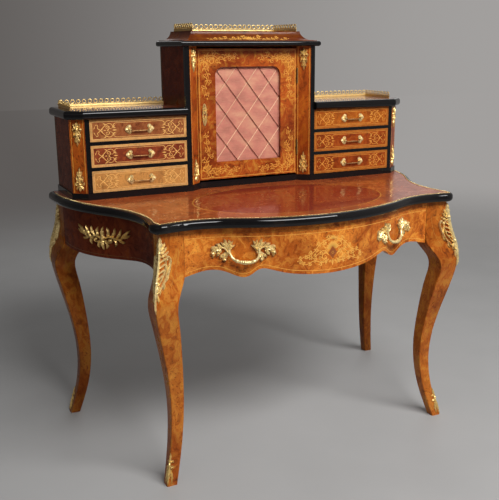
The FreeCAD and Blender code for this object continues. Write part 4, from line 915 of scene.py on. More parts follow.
def curl(start, heading, turn, radius, turns):
    """Points of a spiral that leaves start along heading and winds to one side."""
    start = np.asarray(start, float)
    middle = start + np.array((-math.sin(heading), math.cos(heading))) * turn * radius
    first = math.atan2(start[1] - middle[1], start[0] - middle[0])
    angles = first + turn * np.linspace(0, turns * 2 * math.pi, CURL_STEPS)
    radii = radius * np.linspace(1, CURL_TIGHT, CURL_STEPS) ** CURL_EASE
    return middle + np.stack((radii * np.cos(angles), radii * np.sin(angles)), 1)


def strip(form, place, points, width, count, shade_from=INLAY_TONE, shade_to=INLAY_TONE, kind=0):
    """Flat inlaid line, of one width or of widths along it."""
    rise = in_mm(sizes().inlay_rise)
    widths = spread(np.atleast_1d(width) / 2, count)
    heights = np.tile((0.0, rise, rise, 0.0), (count, 1))
    tones = np.repeat(np.linspace(shade_from, shade_to, count)[:, None], 4, 1)
    relief(form, place, flowing(points, count), widths, heights, tones, 0.0, kind)


def petal(form, place, start, end, half, bow=0.0, root=0.15):
    """Flat inlaid leaf, darker at its root."""
    start = np.asarray(start, float)
    end = np.asarray(end, float)
    way = end - start
    middle = (start + end) / 2 + np.array((-way[1], way[0])) * bow
    widths = (0.3, half * 1.5, half * 2, half * 1.5, half * 0.7, 0.25)
    strip(form, place, (start, middle, end), widths, 9, root, 1.0)


def fan(form, place, middle, angles, near, far, half, bow=0.0, root=0.15, stretch=1.0, side=1):
    """Petals that spread from a middle at the given angles."""
    for angle in angles:
        way = heading_of(angle) * (side, stretch)
        petal(form, place, middle + way * near, middle + way * far, half, bow, root)


def flower(form, place, u, v, radius):
    """Six inlaid petals round a point."""
    fan(form, place, np.array((u, v)), around(6), radius * 0.2, radius, radius * 0.24)


BRANCH_STEPS = 8
TENDRIL_REACH = 0.55
TENDRIL_TURNS = 1.25


def branch(form, place, path, reach, count, stem):
    """Scrolling marquetry stem with tendrils from alternate sides and leaves between them."""
    line = flowing(path, count * BRANCH_STEPS)
    strip(form, place, line[::2], (stem * 1.3, stem, stem * 0.7), count * 6, 0.7, 1.0)
    for i in range(count):
        at = min(i * BRANCH_STEPS + 3, len(line) - 3)
        way = line[at + 2] - line[at - 2]
        heading = math.atan2(way[1], way[0])
        turn = 1 if i % 2 else -1
        size = reach * (1 - 0.35 * i / count)
        tendril = curl(line[at], heading, turn, size * TENDRIL_REACH, TENDRIL_TURNS)
        strip(form, place, tendril, (stem, stem * 0.8, stem * 0.6), 15, 0.8, 1.0)
        eye = tendril[-1]
        petal(form, place, eye - (0.6, 0), eye + (2.1, 1.2), 1.5)
        for k, lean in enumerate((0.55, 1.15, 1.8)):
            root = tendril[3 + k * 3]
            tip = root + heading_of(heading + turn * (0.4 - lean * 0.9)) * size * 0.55
            petal(form, place, root, tip, size * 0.13, 0.12 * turn)
        tip = line[at] + heading_of(heading - turn * 0.75) * size * 0.8
        petal(form, place, line[at], tip, size * 0.15, -0.15 * turn)
    way = line[-1] - line[-3]
    tip = line[-1] + way / np.linalg.norm(way) * reach * 0.55
    petal(form, place, line[-1], tip, reach * 0.13)


BAR_SIDES = 12
BAR_TONE = 0.9


def turned(share, radius, *swells):
    """Radii of a turned bar that swells by an amount at places to both sides of its middle."""
    radii = np.full_like(share, radius)
    for amount, place, width in swells:
        radii += amount * np.exp(-((np.abs(share) - place) / width) ** 2)
    return radii


def tube(form, points, radii):
    """Round bar through points in space, with its radius given along it."""
    line = np.asarray(points, float)
    rows = []
    for spot, way, radius in zip(line, np.gradient(line, axis=0), radii):
        way = Vector(way).normalized()
        across = way.cross(Vector((0, -1, 0)))
        if across.length <= 0.2:
            across = way.cross(Vector((0, 0, 1)))
        across.normalize()
        out = across.cross(way)
        rows.append([tuple(Vector(spot) + (across * math.cos(a) + out * math.sin(a)) * radius)
                     for a in around(BAR_SIDES)])
    form.rings(rows, [[BAR_TONE] * BAR_SIDES] * len(rows))


node_finishes = {
    "table_burr": ("top_board",),
    "frieze_burr": ("front_rail", "frieze_drawer_front"),
    "side_burr": ("side_friezes", "unit_sides", "cupboard_sides"),
    "pilaster_burr": ("canted_corners", "pilasters"),
    "unit_top_burr": ("unit_tops",),
    "cove_burr": ("coved_top",),
    "door_burr": ("door_frame",),
    # The bottom left drawer's pale tone is painted sheen
    "pale_drawer_burr": ("drawer_left_1",),
    "dark_drawer_burr": ("drawer_left_2",),
    "drawer_burr": ("drawer_left_3",),
    "russet_drawer_burr": ("drawer_right_1", "drawer_right_2"),
    "warm_drawer_burr": ("drawer_right_3",),
    "ebonised": ("top_moulding", "plinth", "unit_framing", "unit_mouldings", "cupboard_stiles",
                 "cornice"),
    "carcass": ("back_rail", "back_panels"),
    "lining": ("drawer_runners", "shelf", "frieze_drawer_box", "door_backboard"),
    "old_brass": ("hinge_plates", "door_hinge_leaves"),
    "brass": ("lock_case", "lock_bolt"),
    "gilt_plain": ("escutcheon", *(f"plates_{word}_{n}" for _, word in BANKS for n in LEVELS)),
    # The bails' dark gilt is painted shade
    "worn_gilt": tuple(f"bail_{word}_{n}" for _, word in BANKS for n in LEVELS),
}


def make_veneers():
    """Finishes of the solids that show as they are."""
    for name, nodes in node_finishes.items():
        for node in nodes:
            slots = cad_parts[node].data.materials
            slots.clear()
            slots.append(finish(name))


def softened(corners, soft):
    """Ring of a leg's section with its four corners rounded."""
    ring = []
    for i, corner in enumerate(corners):
        ends = []
        for other in (corners[i - 1], corners[(i + 1) % 4]):
            way = other - corner
            ends.append(corner + way / np.linalg.norm(way) * soft)
        for t in (0.0, 0.25, 0.5, 0.75, 1.0):
            ring.append(ends[0] * (1 - t) ** 2 + corner * 2 * t * (1 - t) + ends[1] * t ** 2)
    return ring


def make_legs():
    """Cabriole legs that stop just short of the posts behind them."""
    count = sizes().leg_steps
    soft = in_mm(sizes().leg_round)
    heights = np.linspace(0, LEG_TOP, count)
    # The rear legs take the darker copy of the leg veneer, which is painted shade
    ends = (("front", FRONT_POST, -1, "leg_burr"), ("rear", REAR_POST, 1, "rear_leg_burr"))
    for end, post, back, veneer in ends:
        table = cubic(leg_stations, leg_tables[end == "rear"], heights)
        for side, word in BANKS:
            form = Form()
            rows = []
            for z, corners in zip(heights, table):
                rows.append([(side * max(x, post[0] + LEG_GAP),
                              max(y * back, post[1] * back + LEG_GAP) * back, z)
                             for x, y in softened(corners, soft)])
            form.rings(rows, [[1.0] * len(rows[0])] * count)
            node = f"leg_{end}_{word}"
            form.piece("veneered_" + node, [veneer], "frame", "burr_walnut", node)


# Tables of ornament. A leaf has a spine, half width, height, lobes and steps; a rib has a
# line, half widths, height and steps; a bead has a place, two radii, height and sides.
knee_leaves = (
    (((0, 684), (0, 704), (0, 727)), 10.5, 8.5, 3, 22),
    (((0, 612), (0, 584), (0, 550)), 9.5, 7.5, 4, 26),
    (((0, 562), (0, 545), (0, 524)), 4.6, 5.0, 2, 16),
)
knee_ribs = (
    (((0, 700), (0, 684), (0, 650), (0, 612), (0, 590)), (3.4, 4.0, 4.6, 4.2, 3.4), 8.5, 30),
)
knee_beads = ((0, 684, 6.5, 5.0, 10.0, 12), (0, 608, 5.5, 6.5, 9.0, 12))
knee_side_leaves = (
    (((2, 690), (10, 700), (15, 710)), 5.5, 7.0, 2, 14),
    (((2, 680), (12, 688), (21, 697)), 5.5, 7.0, 2, 14),
    (((4, 672), (15, 676), (28, 685)), 5.0, 6.5, 3, 16),
    (((22, 650), (27, 636), (23, 616)), 4.2, 6.0, 3, 14),
    (((29, 630), (33, 618), (28, 604)), 4.4, 6.0, 2, 14),
    (((18, 606), (24, 596), (20, 584)), 4.4, 6.0, 2, 14),
    (((3, 600), (11, 587), (12, 572)), 5.2, 6.2, 2, 14),
    (((2, 578), (8, 566), (8, 552)), 4.2, 5.4, 2, 12),
)
knee_side_ribs = (
    (((20, 664), (24, 671), (30, 667), (33, 650), (31, 630), (24, 610), (15, 594), (4, 580)),
     (2.6, 3.6, 4.3, 4.4, 3.8, 3.0, 2.2), 8.5, 32),
    (((9, 672), (18, 660), (20, 640), (14, 618), (5, 601)), (2.2, 3.2, 3.2, 2.0), 7.0, 22),
    *((((2, v - 9), (u * 0.55, v - 3), (u, v)), (2.4, 2.8, 2.2), 6.5, 12)
      for u, v in ((19, 666), (20, 652), (20, 638), (17, 624))),
)
knee_side_beads = ((21, 664, 4.4, 4.4, 9.0, 10),)

foot_leaves = (
    (((0, 62), (0, 78), (0, 92)), 5.5, 4.2, 2, 16),
    (((0, 58), (0, 30), (0, 3)), 7.5, 4.6, 4, 22),
)
foot_beads = ((0, 60, 4.4, 5.0, 5.6, 12),)
foot_side_leaves = (
    (((2, 64), (8, 68), (12, 61)), 3.6, 3.6, 2, 12),
    (((3, 52), (10, 52), (14, 44)), 4.2, 3.6, 2, 12),
    (((3, 44), (10, 26), (12, 4)), 5.2, 4.0, 4, 18),
)
foot_side_ribs = ((((2, 56), (8, 46), (7, 32), (13, 20)), (1.4, 1.8, 1.2), 4.4, 16),)

side_leaves = (
    (((0, 664), (2, 680), (-3, 698)), 6.5, 7.0, 3, 20),
    (((0, 664), (2, 646), (-3, 627)), 8.0, 7.5, 4, 20),
)
side_beads = ((0, 664, 7.0, 6.5, 9.5),)
side_ribs = (
    (((4, 660), (24, 668), (48, 662), (70, 668), (90, 680)), (3.6, 3.2, 2.8, 2.0), 7.5, 34),
    (((10, 656), (22, 650), (30, 655), (26, 662), (20, 658)), (2.6, 2.6, 2.0, 1.4), 7.0, 22),
)
side_sprays = (
    (((16, 667), (20, 682), (15, 696)), 5.0, 6.5, 2, 20),
    (((30, 668), (40, 682), (42, 696)), 5.4, 6.5, 3, 20),
    (((46, 664), (60, 680), (66, 696)), 5.4, 6.5, 3, 20),
    (((64, 667), (84, 682), (104, 696)), 6.0, 6.5, 4, 20),
    (((72, 669), (90, 674), (103, 682)), 4.4, 6.5, 3, 20),
    (((36, 664), (46, 652), (42, 640)), 5.0, 6.5, 2, 20),
    (((56, 664), (70, 656), (82, 658)), 5.0, 6.5, 2, 20),
    (((8, 656), (16, 642), (12, 630)), 5.0, 6.5, 2, 20),
)
side_spray_beads = ((24, 657, 3.4, 3.4, 8.5),)
SIDE_LIFT = 1.5

corner_leaves = (
    (((0, 12), (0, -12), (0, -38)), 7.0, 5.6, 5, 24),
    (((0, 14), (0, 26), (0, 38)), 6.5, 5.2, 2, 16),
)
corner_beads = ((0, 14, 5.4, 5.4, 7.0), (0, -4, 3.0, 4.0, 6.6, 10))
corner_side_leaves = (
    (((2, 16), (8.5, 24), (10.5, 33)), 4.2, 5.0, 2, 12),
    (((3, 15), (10.5, 15), (12, 5)), 4.6, 5.0, 2, 12),
    (((2, 5), (8.5, -2), (10, -13)), 4.2, 5.0, 3, 14),
    (((1, -10), (5.5, -17), (6.4, -27)), 3.4, 4.4, 2, 12),
)
corner_side_ribs = ((((3, 10), (9, 4), (7, -4), (4, -1)), (1.6, 1.8, 1.2), 5.5, 16),)

pull_leaves = (
    (((36, 662), (41, 682), (47, 702)), 9.0, 8.0, 4, 18),
    (((34, 668), (32, 684), (36, 700)), 6.6, 8.0, 3, 18),
    (((33, 672), (27, 680), (19, 684)), 4.8, 8.0, 2, 18),
    (((34, 679), (29, 689), (24, 696)), 4.56, 8.0, 2, 18),
    (((40, 676), (48, 686), (57, 692)), 5.28, 8.0, 2, 18),
    (((52, 675), (60, 684), (69, 688)), 6.0, 8.0, 2, 18),
    (((54, 674), (68, 674), (84, 656)), 9.0, 8.0, 4, 18),
    (((66, 675), (76, 679), (84, 673)), 5.52, 8.0, 2, 18),
    (((56, 672), (62, 662), (67, 653)), 6.48, 8.0, 2, 18),
    (((70, 668), (76, 658), (76, 649)), 5.52, 8.0, 2, 18),
    (((38, 662), (47, 651), (45, 636)), 9.6, 8.0, 3, 18),
    (((42, 657), (53, 655), (59, 645)), 5.76, 8.0, 2, 18),
)
pull_ribs = (
    (((36, 660), (43, 673), (55, 679), (67, 674), (76, 664)), (4.0, 3.6, 3.2, 2.6), 8.5, 26),
)
pull_beads = tuple((u, v, size, size, 10.0) for u, v, size in (
    (37, 664, 6.0), (78, 663, 5.2), (45, 644, 4.2), (60, 678, 3.4)))
PULL_LIFT = 2.0
PULL_STEPS = 81
PULL_RADIUS = 3.9
PULL_SWELL = (1.9, 0.0, 0.26)
PULL_RINGS = (1.2, 0.36, 0.05)
PULL_RIBS = (0.5, 70, 0.24)
pull_bow = ((37, 674, 5), (36, 661, 9), (29, 647, 15), (14, 640, 19.5))
PULL_DIP = (0, 638.5, 20.5)

plate_leaves = (
    (((0, 3), (0.6, 8), (-0.6, 14.6)), 6.0, 2.4, 1, 14),
    (((3, 0), (8, 0.2), (15.4, 0)), 6.0, 2.4, 1, 14),
    (((0, -3), (0.6, -8), (-0.6, -14.6)), 6.0, 2.4, 1, 14),
    *((((2.8, s * 2.8), (6.2, s * 6), (9.6, s * 9.4)), 2.8, 1.8, 1, 10) for s in SIDES),
)

escutcheon_leaves = ((((0, 10), (0, 22), (0, 35)), 4.6, 2.6, 4, 22),)
escutcheon_side_leaves = (
    (((1.5, 11), (6, 14), (6.4, 21)), 2.8, 2.4, 2, 12),
    (((4, 3), (7.2, 7), (6.6, 12)), 2.0, 2.2, 2, 10),
)
escutcheon_beads = ((0, 11, 2.6, 2.6, 3.4),)
KEYHOLE_REACH = (4.6, 8.5)
keyhole_rib = ((1.2, 1.4, 1.2), 2.4)


def leg_mounts(middle, flank):
    """Leaves, ribs and beads along the arris of each leg and to both sides of it."""
    form = Form()
    for rear in (False, True):
        for side in SIDES:
            place = on_leg(rear, side)
            carve(form, place, 1, *middle, DEEP)
            for s in SIDES:
                carve(form, place, s, *flank, DEEP)
    return form


def make_knee_mounts():
    """Bud leaf, pierced scroll cartouche and trailing leaves down the arris of each knee."""
    form = leg_mounts((knee_leaves, knee_ribs, knee_beads),
                      (knee_side_leaves, knee_side_ribs, knee_side_beads))
    form.piece("knee_leaf_mounts", ["ormolu"], "frame", "ormolu", "knee_mounts")


def make_foot_mounts():
    """Leaf and bud over the arris of each foot."""
    form = leg_mounts((foot_leaves, (), foot_beads), (foot_side_leaves, foot_side_ribs, ()))
    form.piece("foot_leaf_mounts", ["deep_ormolu"], "frame", "ormolu", "sabots")


def make_side_mounts():
    """Spray of leaves to both sides of a bead, a little lower towards the back."""
    form = Form()
    for side in SIDES:
        surface = on_side(side)

        def place(u, v, h):
            return surface(SIDE_MOUNT_Y + u, v - SIDE_MOUNT_FALL * u, h)
        carve(form, place, 1, side_leaves, (), side_beads)
        for s in SIDES:
            carve(form, place, s, (), side_ribs, side_spray_beads)
            carve(form, place, s, side_sprays, lift=SIDE_LIFT)
    form.piece("side_leaf_mounts", ["deep_ormolu"], "frame", "ormolu", "side_mounts")


def canted_faces():
    """Middle, across direction and outward direction of each canted face, with its ends."""
    faces = []
    for side in SIDES:
        for near, far, low, high in canted_plans:
            near = Vector((side * near[0], near[1], 0))
            far = Vector((side * far[0], far[1], 0))
            across = (far - near).normalized()
            out = Vector((across.y, -across.x, 0))
            faces.append(((near + far) / 2, across, -out if out.y > 0 else out, low, high))
    return faces


def make_corner_mounts():
    """Leaf drops at both ends of each canted face, and the pale lines along it."""
    form = Form()
    lines = Form()
    for middle, across, out, low, high in canted_faces():
        for height, flip in ((low + CORNER_MOUNT_INSET, -1), (high - CORNER_MOUNT_INSET, 1)):
            place = on_plane((middle.x, middle.y, height), across, out, (0, 0, flip))
            carve(form, place, 1, corner_leaves, (), corner_beads)
            for s in SIDES:
                carve(form, place, s, corner_side_leaves, corner_side_ribs)
        edge = on_plane((middle.x, middle.y, 0), across, out)
        for x in (-CANTED_LINE, CANTED_LINE):
            strip(lines, edge, ((x, low + 1), (x, high - 1)), in_mm(sizes().string_width), 2)
    form.piece("corner_leaf_mounts", ["deep_ormolu"], "frame", "ormolu", "corner_mounts")
    lines.piece("canted_stringing", ["boxwood"], "frame", "burr_walnut")


def make_pulls():
    """Flame leaves and drooping rosettes joined by a bow with a ribbed middle."""
    form = Form()
    left = [(-u, v, stand) for u, v, stand in pull_bow]
    share = np.linspace(-1, 1, PULL_STEPS)
    rib, turns, reach = PULL_RIBS
    radii = turned(share, PULL_RADIUS, PULL_SWELL, PULL_RINGS)
    radii += rib * np.cos(share * turns) * (np.abs(share) < reach)
    for side in SIDES:
        middle = side * PULL_X
        for end in SIDES:
            def place(u, v, h):
                return on_front(middle + end * u, v, h)
            carve(form, place, 1, pull_leaves, lift=PULL_LIFT)
            carve(form, place, 1, (), pull_ribs, pull_beads)
        spots = [(middle + u, front_y(middle + u) - stand, z)
                 for u, z, stand in (*left, PULL_DIP, *reversed(pull_bow))]
        tube(form, flowing(spots, PULL_STEPS), radii)
    form.piece("leaf_pulls", ["ormolu"], "frieze_drawer", "ormolu", "frieze_pulls")


# Marquetry of the frieze: stems with their reach, tendrils and width, curls with their
# heading, radius, turns, widths and steps, and flowers with their radius
frieze_branches = (
    (((5, 688), (26, 682), (46, 668), (64, 650), (86, 642), (104, 632)), 12.0, 7, 2.2),
    (((12, 628), (34, 620), (58, 627), (80, 619), (98, 622)), 11.0, 5, 2.1),
    (((16, 644), (30, 654), (46, 646), (60, 636)), 11.0, 3, 2.1),
)
frieze_curls = (((14, 640), 1.2, 12.0, 1.3, (2.8, 2.4, 1.2), 30),
                ((20, 676), 0.2, 9.0, 1.2, (2.4, 2.0, 1.0), 26))
frieze_flowers = ((70, 638, 8.0), (98, 628, 6.5), (40, 634, 6.0))
frieze_petals = ((10, 617), (22, 612), (36, 611))
knee_line = (*((58, v) for v in np.linspace(690, 640, 5)), (55, 615), (48, 590))


def make_frieze_marquetry():
    """Pale lines and scrolling flowers of the frieze drawer, and the lines beside it."""
    width = in_mm(sizes().string_width)
    form = Form()
    half, level = FRIEZE_LINE
    strip(form, on_front, [(x, level) for x in np.linspace(-half, half, 41)], width, 120)
    apron = [(share * FRIEZE_HALF, APRON_LINE - APRON_DROP * drop + APRON_MARGIN)
             for share, drop in apron_shares]
    strip(form, on_front, apron + mirrored(apron[-2::-1], -1), width, 160)
    for s in SIDES:
        for path, *shape in frieze_branches:
            branch(form, on_front, mirrored(path, s), *shape)
        for (u, v), heading, radius, turns, widths, count in frieze_curls:
            heading = heading if s > 0 else math.pi - heading
            strip(form, on_front, curl((s * u, v), heading, -s, radius, turns), widths, count)
        for u, v, radius in frieze_flowers:
            flower(form, on_front, s * u, v, radius)
        for u, v in frieze_petals:
            petal(form, on_front, (s * (u - 6), 624), (s * u, v), 2.8, 0.2 * s)
    angles = np.radians(np.linspace(15, 165, 11))
    fan(form, on_front, np.array((0, 656)), angles, 6, 22, 3.6, 0.0, 0.1, 1.15)
    angles = np.radians(np.linspace(40, 140, 5))
    fan(form, on_front, np.array((0, 682)), angles, 3, 16, 2.8)
    strip(form, on_front, ((0, 664), (0, 646), (0, 628)), (0.4, 28.0, 0.4), 13, kind=1)
    flower(form, on_front, 0, 645, 6.0)
    petal(form, on_front, (0, 627), (0, 607), 3.6)
    form.piece("frieze_marquetry", ["boxwood", "rosewood"], "frieze_drawer", "burr_walnut")

    form = Form()
    edge = [(SIDE_REAR - SIDE_RUN * share, APRON_LINE - SIDE_DROP * drop + SIDE_MARGIN)
            for share, drop in side_shares]
    for side in SIDES:
        strip(form, on_side(side), edge, width * 0.8, 70, 0.0, 0.0)
        strip(form, on_leg(False, side), knee_line, width * 0.6, 30, 0.8, 0.6)
    form.piece("frame_stringing", ["dim_boxwood"], "frame", "burr_walnut")


# Marquetry of one quarter of a small drawer
drawer_bow = ((137, 12), (133, 17), (128, 14), (130, 9), (124, 3), (119, -2), (112, -9),
              (103, -17), (93, -20), (85, -16), (84, -8), (91, -5), (95, -10), (91, -12))
drawer_hook = ((70, 21), (76, 20), (81, 14), (76, 12))
drawer_line = ((-70, 21), (70, 21))
DRAWER_CURL = (100, 0.9)
# The left bank's paler banding and boxwood are partly the woods' own tone and partly painted
# sheen; the right bank's warmer woods have no painted sheen
drawer_woods = {"right": ["warm_boxwood", "warm_crossband"], "left": ["pale_boxwood", "crossband"]}


def small_drawers():
    """Bank, ending of the names and middle of each small drawer."""
    for side, word in BANKS:
        for level in LEVELS:
            middle = (side * DRAWER_X, DRAWER_Z + DRAWER_PITCH * (level - 1))
            yield word, f"{word}_{level}", *middle


def inlay_drawer(form, place):
    """Banding, lines and strapwork on the front of a small drawer."""
    high = DRAWER_HALF_HEIGHT
    wide = DRAWER_HALF_WIDTH
    band = DRAWER_BAND
    mid_x, mid_z = wide - band / 2, high - band / 2
    in_x, in_z = wide - band, high - band
    for s in SIDES:
        strip(form, place, ((-mid_x, s * mid_z), (mid_x, s * mid_z)), band, 2, kind=1)
        strip(form, place, ((s * mid_x, -high), (s * mid_x, high)), band, 2, kind=1)
        strip(form, place, ((-in_x, s * in_z), (in_x, s * in_z)), 0.8, 2)
        strip(form, place, ((s * in_x, -in_z), (s * in_x, in_z)), 0.8, 2)
        strip(form, place, [(u, s * v) for u, v in drawer_line], 1.1, 4)
    for s in SIDES:
        for t in SIDES:
            def at(u, v):
                return (s * u, t * v)
            bow = [at(u, v) for u, v in drawer_bow]
            strip(form, place, bow, (0.9, 1.5, 1.8, 1.7, 1.2, 0.8), 60)
            hook = [at(u, v) for u, v in drawer_hook]
            strip(form, place, hook, (1.2, 1.6, 1.0), 18)
            petal(form, place, at(84, 15), at(73, 7), 2.2, 0.2 * s * t)
            petal(form, place, at(103, 17), at(112, 22), 1.8, 0.1)
            petal(form, place, at(119, 0), at(113, 5), 1.2)
            petal(form, place, at(137, 12), at(141, 4), 1.5)
            heading = math.pi if s > 0 else 0.0
            line = curl(at(*DRAWER_CURL), heading, -s * t, 7.4, 1.35)
            strip(form, place, line, (1.9, 1.6, 0.9), 34)
        petal(form, place, (s * 84, 0), (s * 70, 0), 2.4)
        petal(form, place, (s * 103, 0), (s * 112, 0), 1.6)


def make_drawer_marquetry():
    """Inlay of the six small drawers."""
    for word, ending, x, z in small_drawers():
        form = Form()
        inlay_drawer(form, on_plane((x, FRONT_Y, z)))
        form.piece("drawer_marquetry_" + ending, drawer_woods[word], "small_drawer_" + ending,
                   "burr_walnut")


def make_handles():
    """Trefoil leaves of the plates and the turned bar of each bail."""
    steps = np.linspace(-1, 1, BAIL_STEPS)
    radii = turned(steps, BAIL_RADIUS, BAIL_SWELL, BAIL_RINGS)
    for _, ending, x, z in small_drawers():
        form = Form()
        for end in SIDES:
            spot = (x + end * PLATE_SPAN, FRONT_Y - PLATE_THICKNESS, z)
            carve(form, on_plane(spot, (end, 0, 0)), 1, plate_leaves)
        form.piece("plate_leaves_" + ending, ["ormolu"], "small_drawer_" + ending, "ormolu")
        form = Form()
        tube(form, [(x + BAIL_HALF * s, BAIL_Y, z - BAIL_DROP) for s in steps], radii)
        # The bail's dark gilt is painted shade
        form.piece("bail_knop_" + ending, ["worn_gilt"], "handle_" + ending, "ormolu")


# Stems of one corner of the door, from the middle of that corner
door_branches = (
    (((4, 4), (-26, 6), (-52, -5), (-80, 5), (-106, 0)), 19.0, 6, 1.7),
    (((6, 0), (8, -28), (-6, -58), (5, -90), (0, -122)), 18.0, 6, 1.7),
)


def make_door_marquetry():
    """Line round the door and a spray of stems in each of its corners."""
    form = Form()
    place = on_plane((0, DOOR_Y, 0))
    low, high = DOOR_FOOT + DOOR_LINE_INSET, DOOR_HEAD - DOOR_LINE_INSET
    wide = DOOR_HALF - DOOR_LINE_INSET
    line = partial(strip, width=2.2, count=2, shade_from=0.55, shade_to=0.55)
    for x in (-wide, wide):
        line(form, place, ((x, low), (x, high)))
    for z in (low, high):
        line(form, place, ((-wide, z), (wide, z)))
    for s in SIDES:
        for t, edge, inner in ((1, DOOR_HEAD, PANE_HEAD), (-1, DOOR_FOOT, PANE_FOOT)):
            middle = np.array((s * (DOOR_HALF + PANE_HALF) / 2, (edge + inner) / 2))

            def at(u, v):
                return middle + (s * u, t * v)
            for path, *shape in door_branches:
                branch(form, place, [at(u, v) for u, v in path], *shape)
            bow = curl(at(-4, -10), math.pi / 2 * t, s, 13.0, 1.4)
            strip(form, place, bow, (2.4, 2.0, 1.2), 30)
            flower(form, place, *at(2, 2), 9.0)
            first = 200 if t > 0 else 20
            angles = np.radians(first + 36 * np.arange(5))
            fan(form, place, middle, angles, 11, 24, 2.4, 0.15, side=-s)
    form.piece("door_marquetry", ["warm_boxwood"], "cupboard_door", "burr_walnut")


def pane_edges(gap, lap):
    """Half width, foot and head of a layer behind the pane, lapped over its opening."""
    return SILK_HALF - gap, PANE_FOOT - lap, PANE_HEAD + lap


def make_lattice():
    """Two layers of ridged brass strips that cross over the pane, one in painted shade, the other
    with a painted highlight.
    """
    form = Form()
    width = in_mm(sizes().lattice_width)
    reach, low, high = pane_edges(LATTICE_GAP, LATTICE_LAP)
    middle = (PANE_FOOT + PANE_HEAD) / 2
    slope = DIAMOND[1] / DIAMOND[0]
    for layer, lean in ((0, -slope), (1, slope)):
        front = LATTICE_Y + LATTICE_STEP * layer
        half = width * LATTICE_SHARES[layer]
        way = Vector((1, lean)).normalized()
        aside = Vector((-way.y, way.x))
        for i in range(-2, 3):
            x0 = DIAMOND[0] * i
            ends = sorted(((low - middle) / lean + x0, (high - middle) / lean + x0))
            left, right = max(ends[0], -reach), min(ends[1], reach)
            if right - left < SHORTEST_STRIP:
                continue
            rows = []
            for x in (left, right):
                spot = Vector((x, middle + lean * (x - x0)))
                row = []
                for across, deep in lattice_section:
                    place = spot + aside * across * half
                    row.append((min(max(place.x, -reach), reach), front + deep,
                                min(max(place.y, low), high)))
                rows.append(row)
            form.rings(rows, [[1.0] * len(row)] * 2, layer)
    # The first layer takes the brass with painted shade, the second the brass with a painted
    # highlight
    form.piece("ridged_lattice", ["bronze", "pale_brass"], "cupboard_door", "brass",
               "door_lattice", smooth=False)


def make_silk():
    """Stretched silk with faint puckers towards its upper and lower edges."""
    columns, lines = SILK_GRID
    reach, low, high = pane_edges(SILK_GAP, SILK_LAP)
    corners = []
    for z in np.linspace(low, high, lines):
        for x in np.linspace(-reach, reach, columns):
            pucker = PUCKER * math.sin(x * 0.21 + math.sin(z * 0.013) * 1.6)
            pucker *= 0.4 + 0.6 * abs(z - SILK_MIDDLE) / 160
            pucker += RIPPLE * math.sin(z * 0.12 + x * 0.05)
            corners.append(Vector((x, SILK_Y + pucker, z)) * MM)
    faces = []
    for i in range(lines - 1):
        for k in range(i * columns, (i + 1) * columns - 1):
            faces.append((k, k + 1, k + columns + 1, k + columns))
    mesh = bpy.data.meshes.new("pane_silk")
    mesh.from_pydata(corners, [], faces)
    mesh.materials.append(finish("silk"))
    mesh.shade_smooth()
    cloth = settle("pane_silk", mesh, "cupboard_door", "silk", "door_silk")


def make_escutcheon():
    """Rim of the keyhole with leaves above and below it."""
    form = Form()
    x, z = ESCUTCHEON_PLACE
    place = on_plane((x, DOOR_Y - PLATE_THICKNESS, z))
    across, up = KEYHOLE_REACH
    loop = [(across * math.sin(a), up * math.cos(a)) for a in np.linspace(0, 2 * math.pi, 17)]
    rod(form, place, loop[:13], *keyhole_rib, 34)
    rod(form, place, loop[11:] + loop[1:2], *keyhole_rib, 16)
    for t in SIDES:
        carve(form, place, 1, escutcheon_leaves, (), escutcheon_beads, flip=t)
        for s in SIDES:
            carve(form, place, s, escutcheon_side_leaves, flip=t)
    form.piece("escutcheon_leaves", ["deep_ormolu"], "cupboard_door", "ormolu")


cove_stem = ((10, 24), (36, 28), (64, 20), (92, 28), (118, 22), (140, 25))


def make_cove_marquetry():
    """Marquetry on the hollow front of the cupboard's top."""
    start, end = np.array(COVE_START), np.array(COVE_END)
    chord = end - start
    bow = np.array((chord[1], -chord[0])) / np.linalg.norm(chord)
    middle = (start + end) / 2 + bow * math.copysign(COVE_HOLLOW, bow[0])

    def place(u, v, h):
        t = v / COVE_RUN
        spot = start * (1 - t) * (1 - 2 * t) + middle * 4 * t * (1 - t) + end * t * (2 * t - 1)
        way = start * (4 * t - 3) + middle * (4 - 8 * t) + end * (4 * t - 1)
        spot = spot + np.array((-way[1], way[0])) / np.linalg.norm(way) * h
        return (u, spot[0], spot[1])
    form = Form()
    for s in SIDES:
        branch(form, place, mirrored(cove_stem, s), 14.0, 8, 1.8)
    fan(form, place, np.array((0, 18)), np.radians(np.linspace(25, 155, 7)), 3, 20, 3.0)
    flower(form, place, 0, 14, 7.0)
    form.piece("cove_marquetry", ["boxwood"], "frame", "burr_walnut")


class Growth(Nodes):
    """A geometry node tree that grows an ornament along a path."""

    def __init__(self, name, *labels):
        tree = bpy.data.node_groups.new(name, "GeometryNodeTree")
        super().__init__(tree)
        inputs = [("Geometry", "Geometry"), *((label, "Float") for label in labels),
                  ("Material", "Material")]
        tree.interface.new_socket("Geometry", in_out="OUTPUT",
                                  socket_type="NodeSocketGeometry")
        for label, kind in inputs:
            tree.interface.new_socket(label, in_out="INPUT", socket_type="NodeSocket" + kind)
        self.source = tree.nodes.new("NodeGroupInput").outputs
        self.sink = tree.nodes.new("NodeGroupOutput")

    def grow(self, kind, *joins, **settings):
        return self.add("GeometryNode" + kind, *joins, **settings).outputs[0]

    def spots(self, curve, pitch):
        """Points at an even pitch along a curve."""
        return self.grow("ResampleCurve", (0, curve), ("Length", pitch), mode="LENGTH")

    def join(self, *parts):
        node = self.add("GeometryNodeJoinGeometry")
        for part in parts:
            self.put(node, 0, part)
        return node.outputs[0]

    def close(self, geometry):
        real = self.grow("RealizeInstances", (0, geometry))
        soft = self.grow("SetShadeSmooth", (0, real))
        done = self.grow("SetMaterial", (0, soft), (2, self.source["Material"]))
        self.put(self.sink, 0, done)
        return self.tree


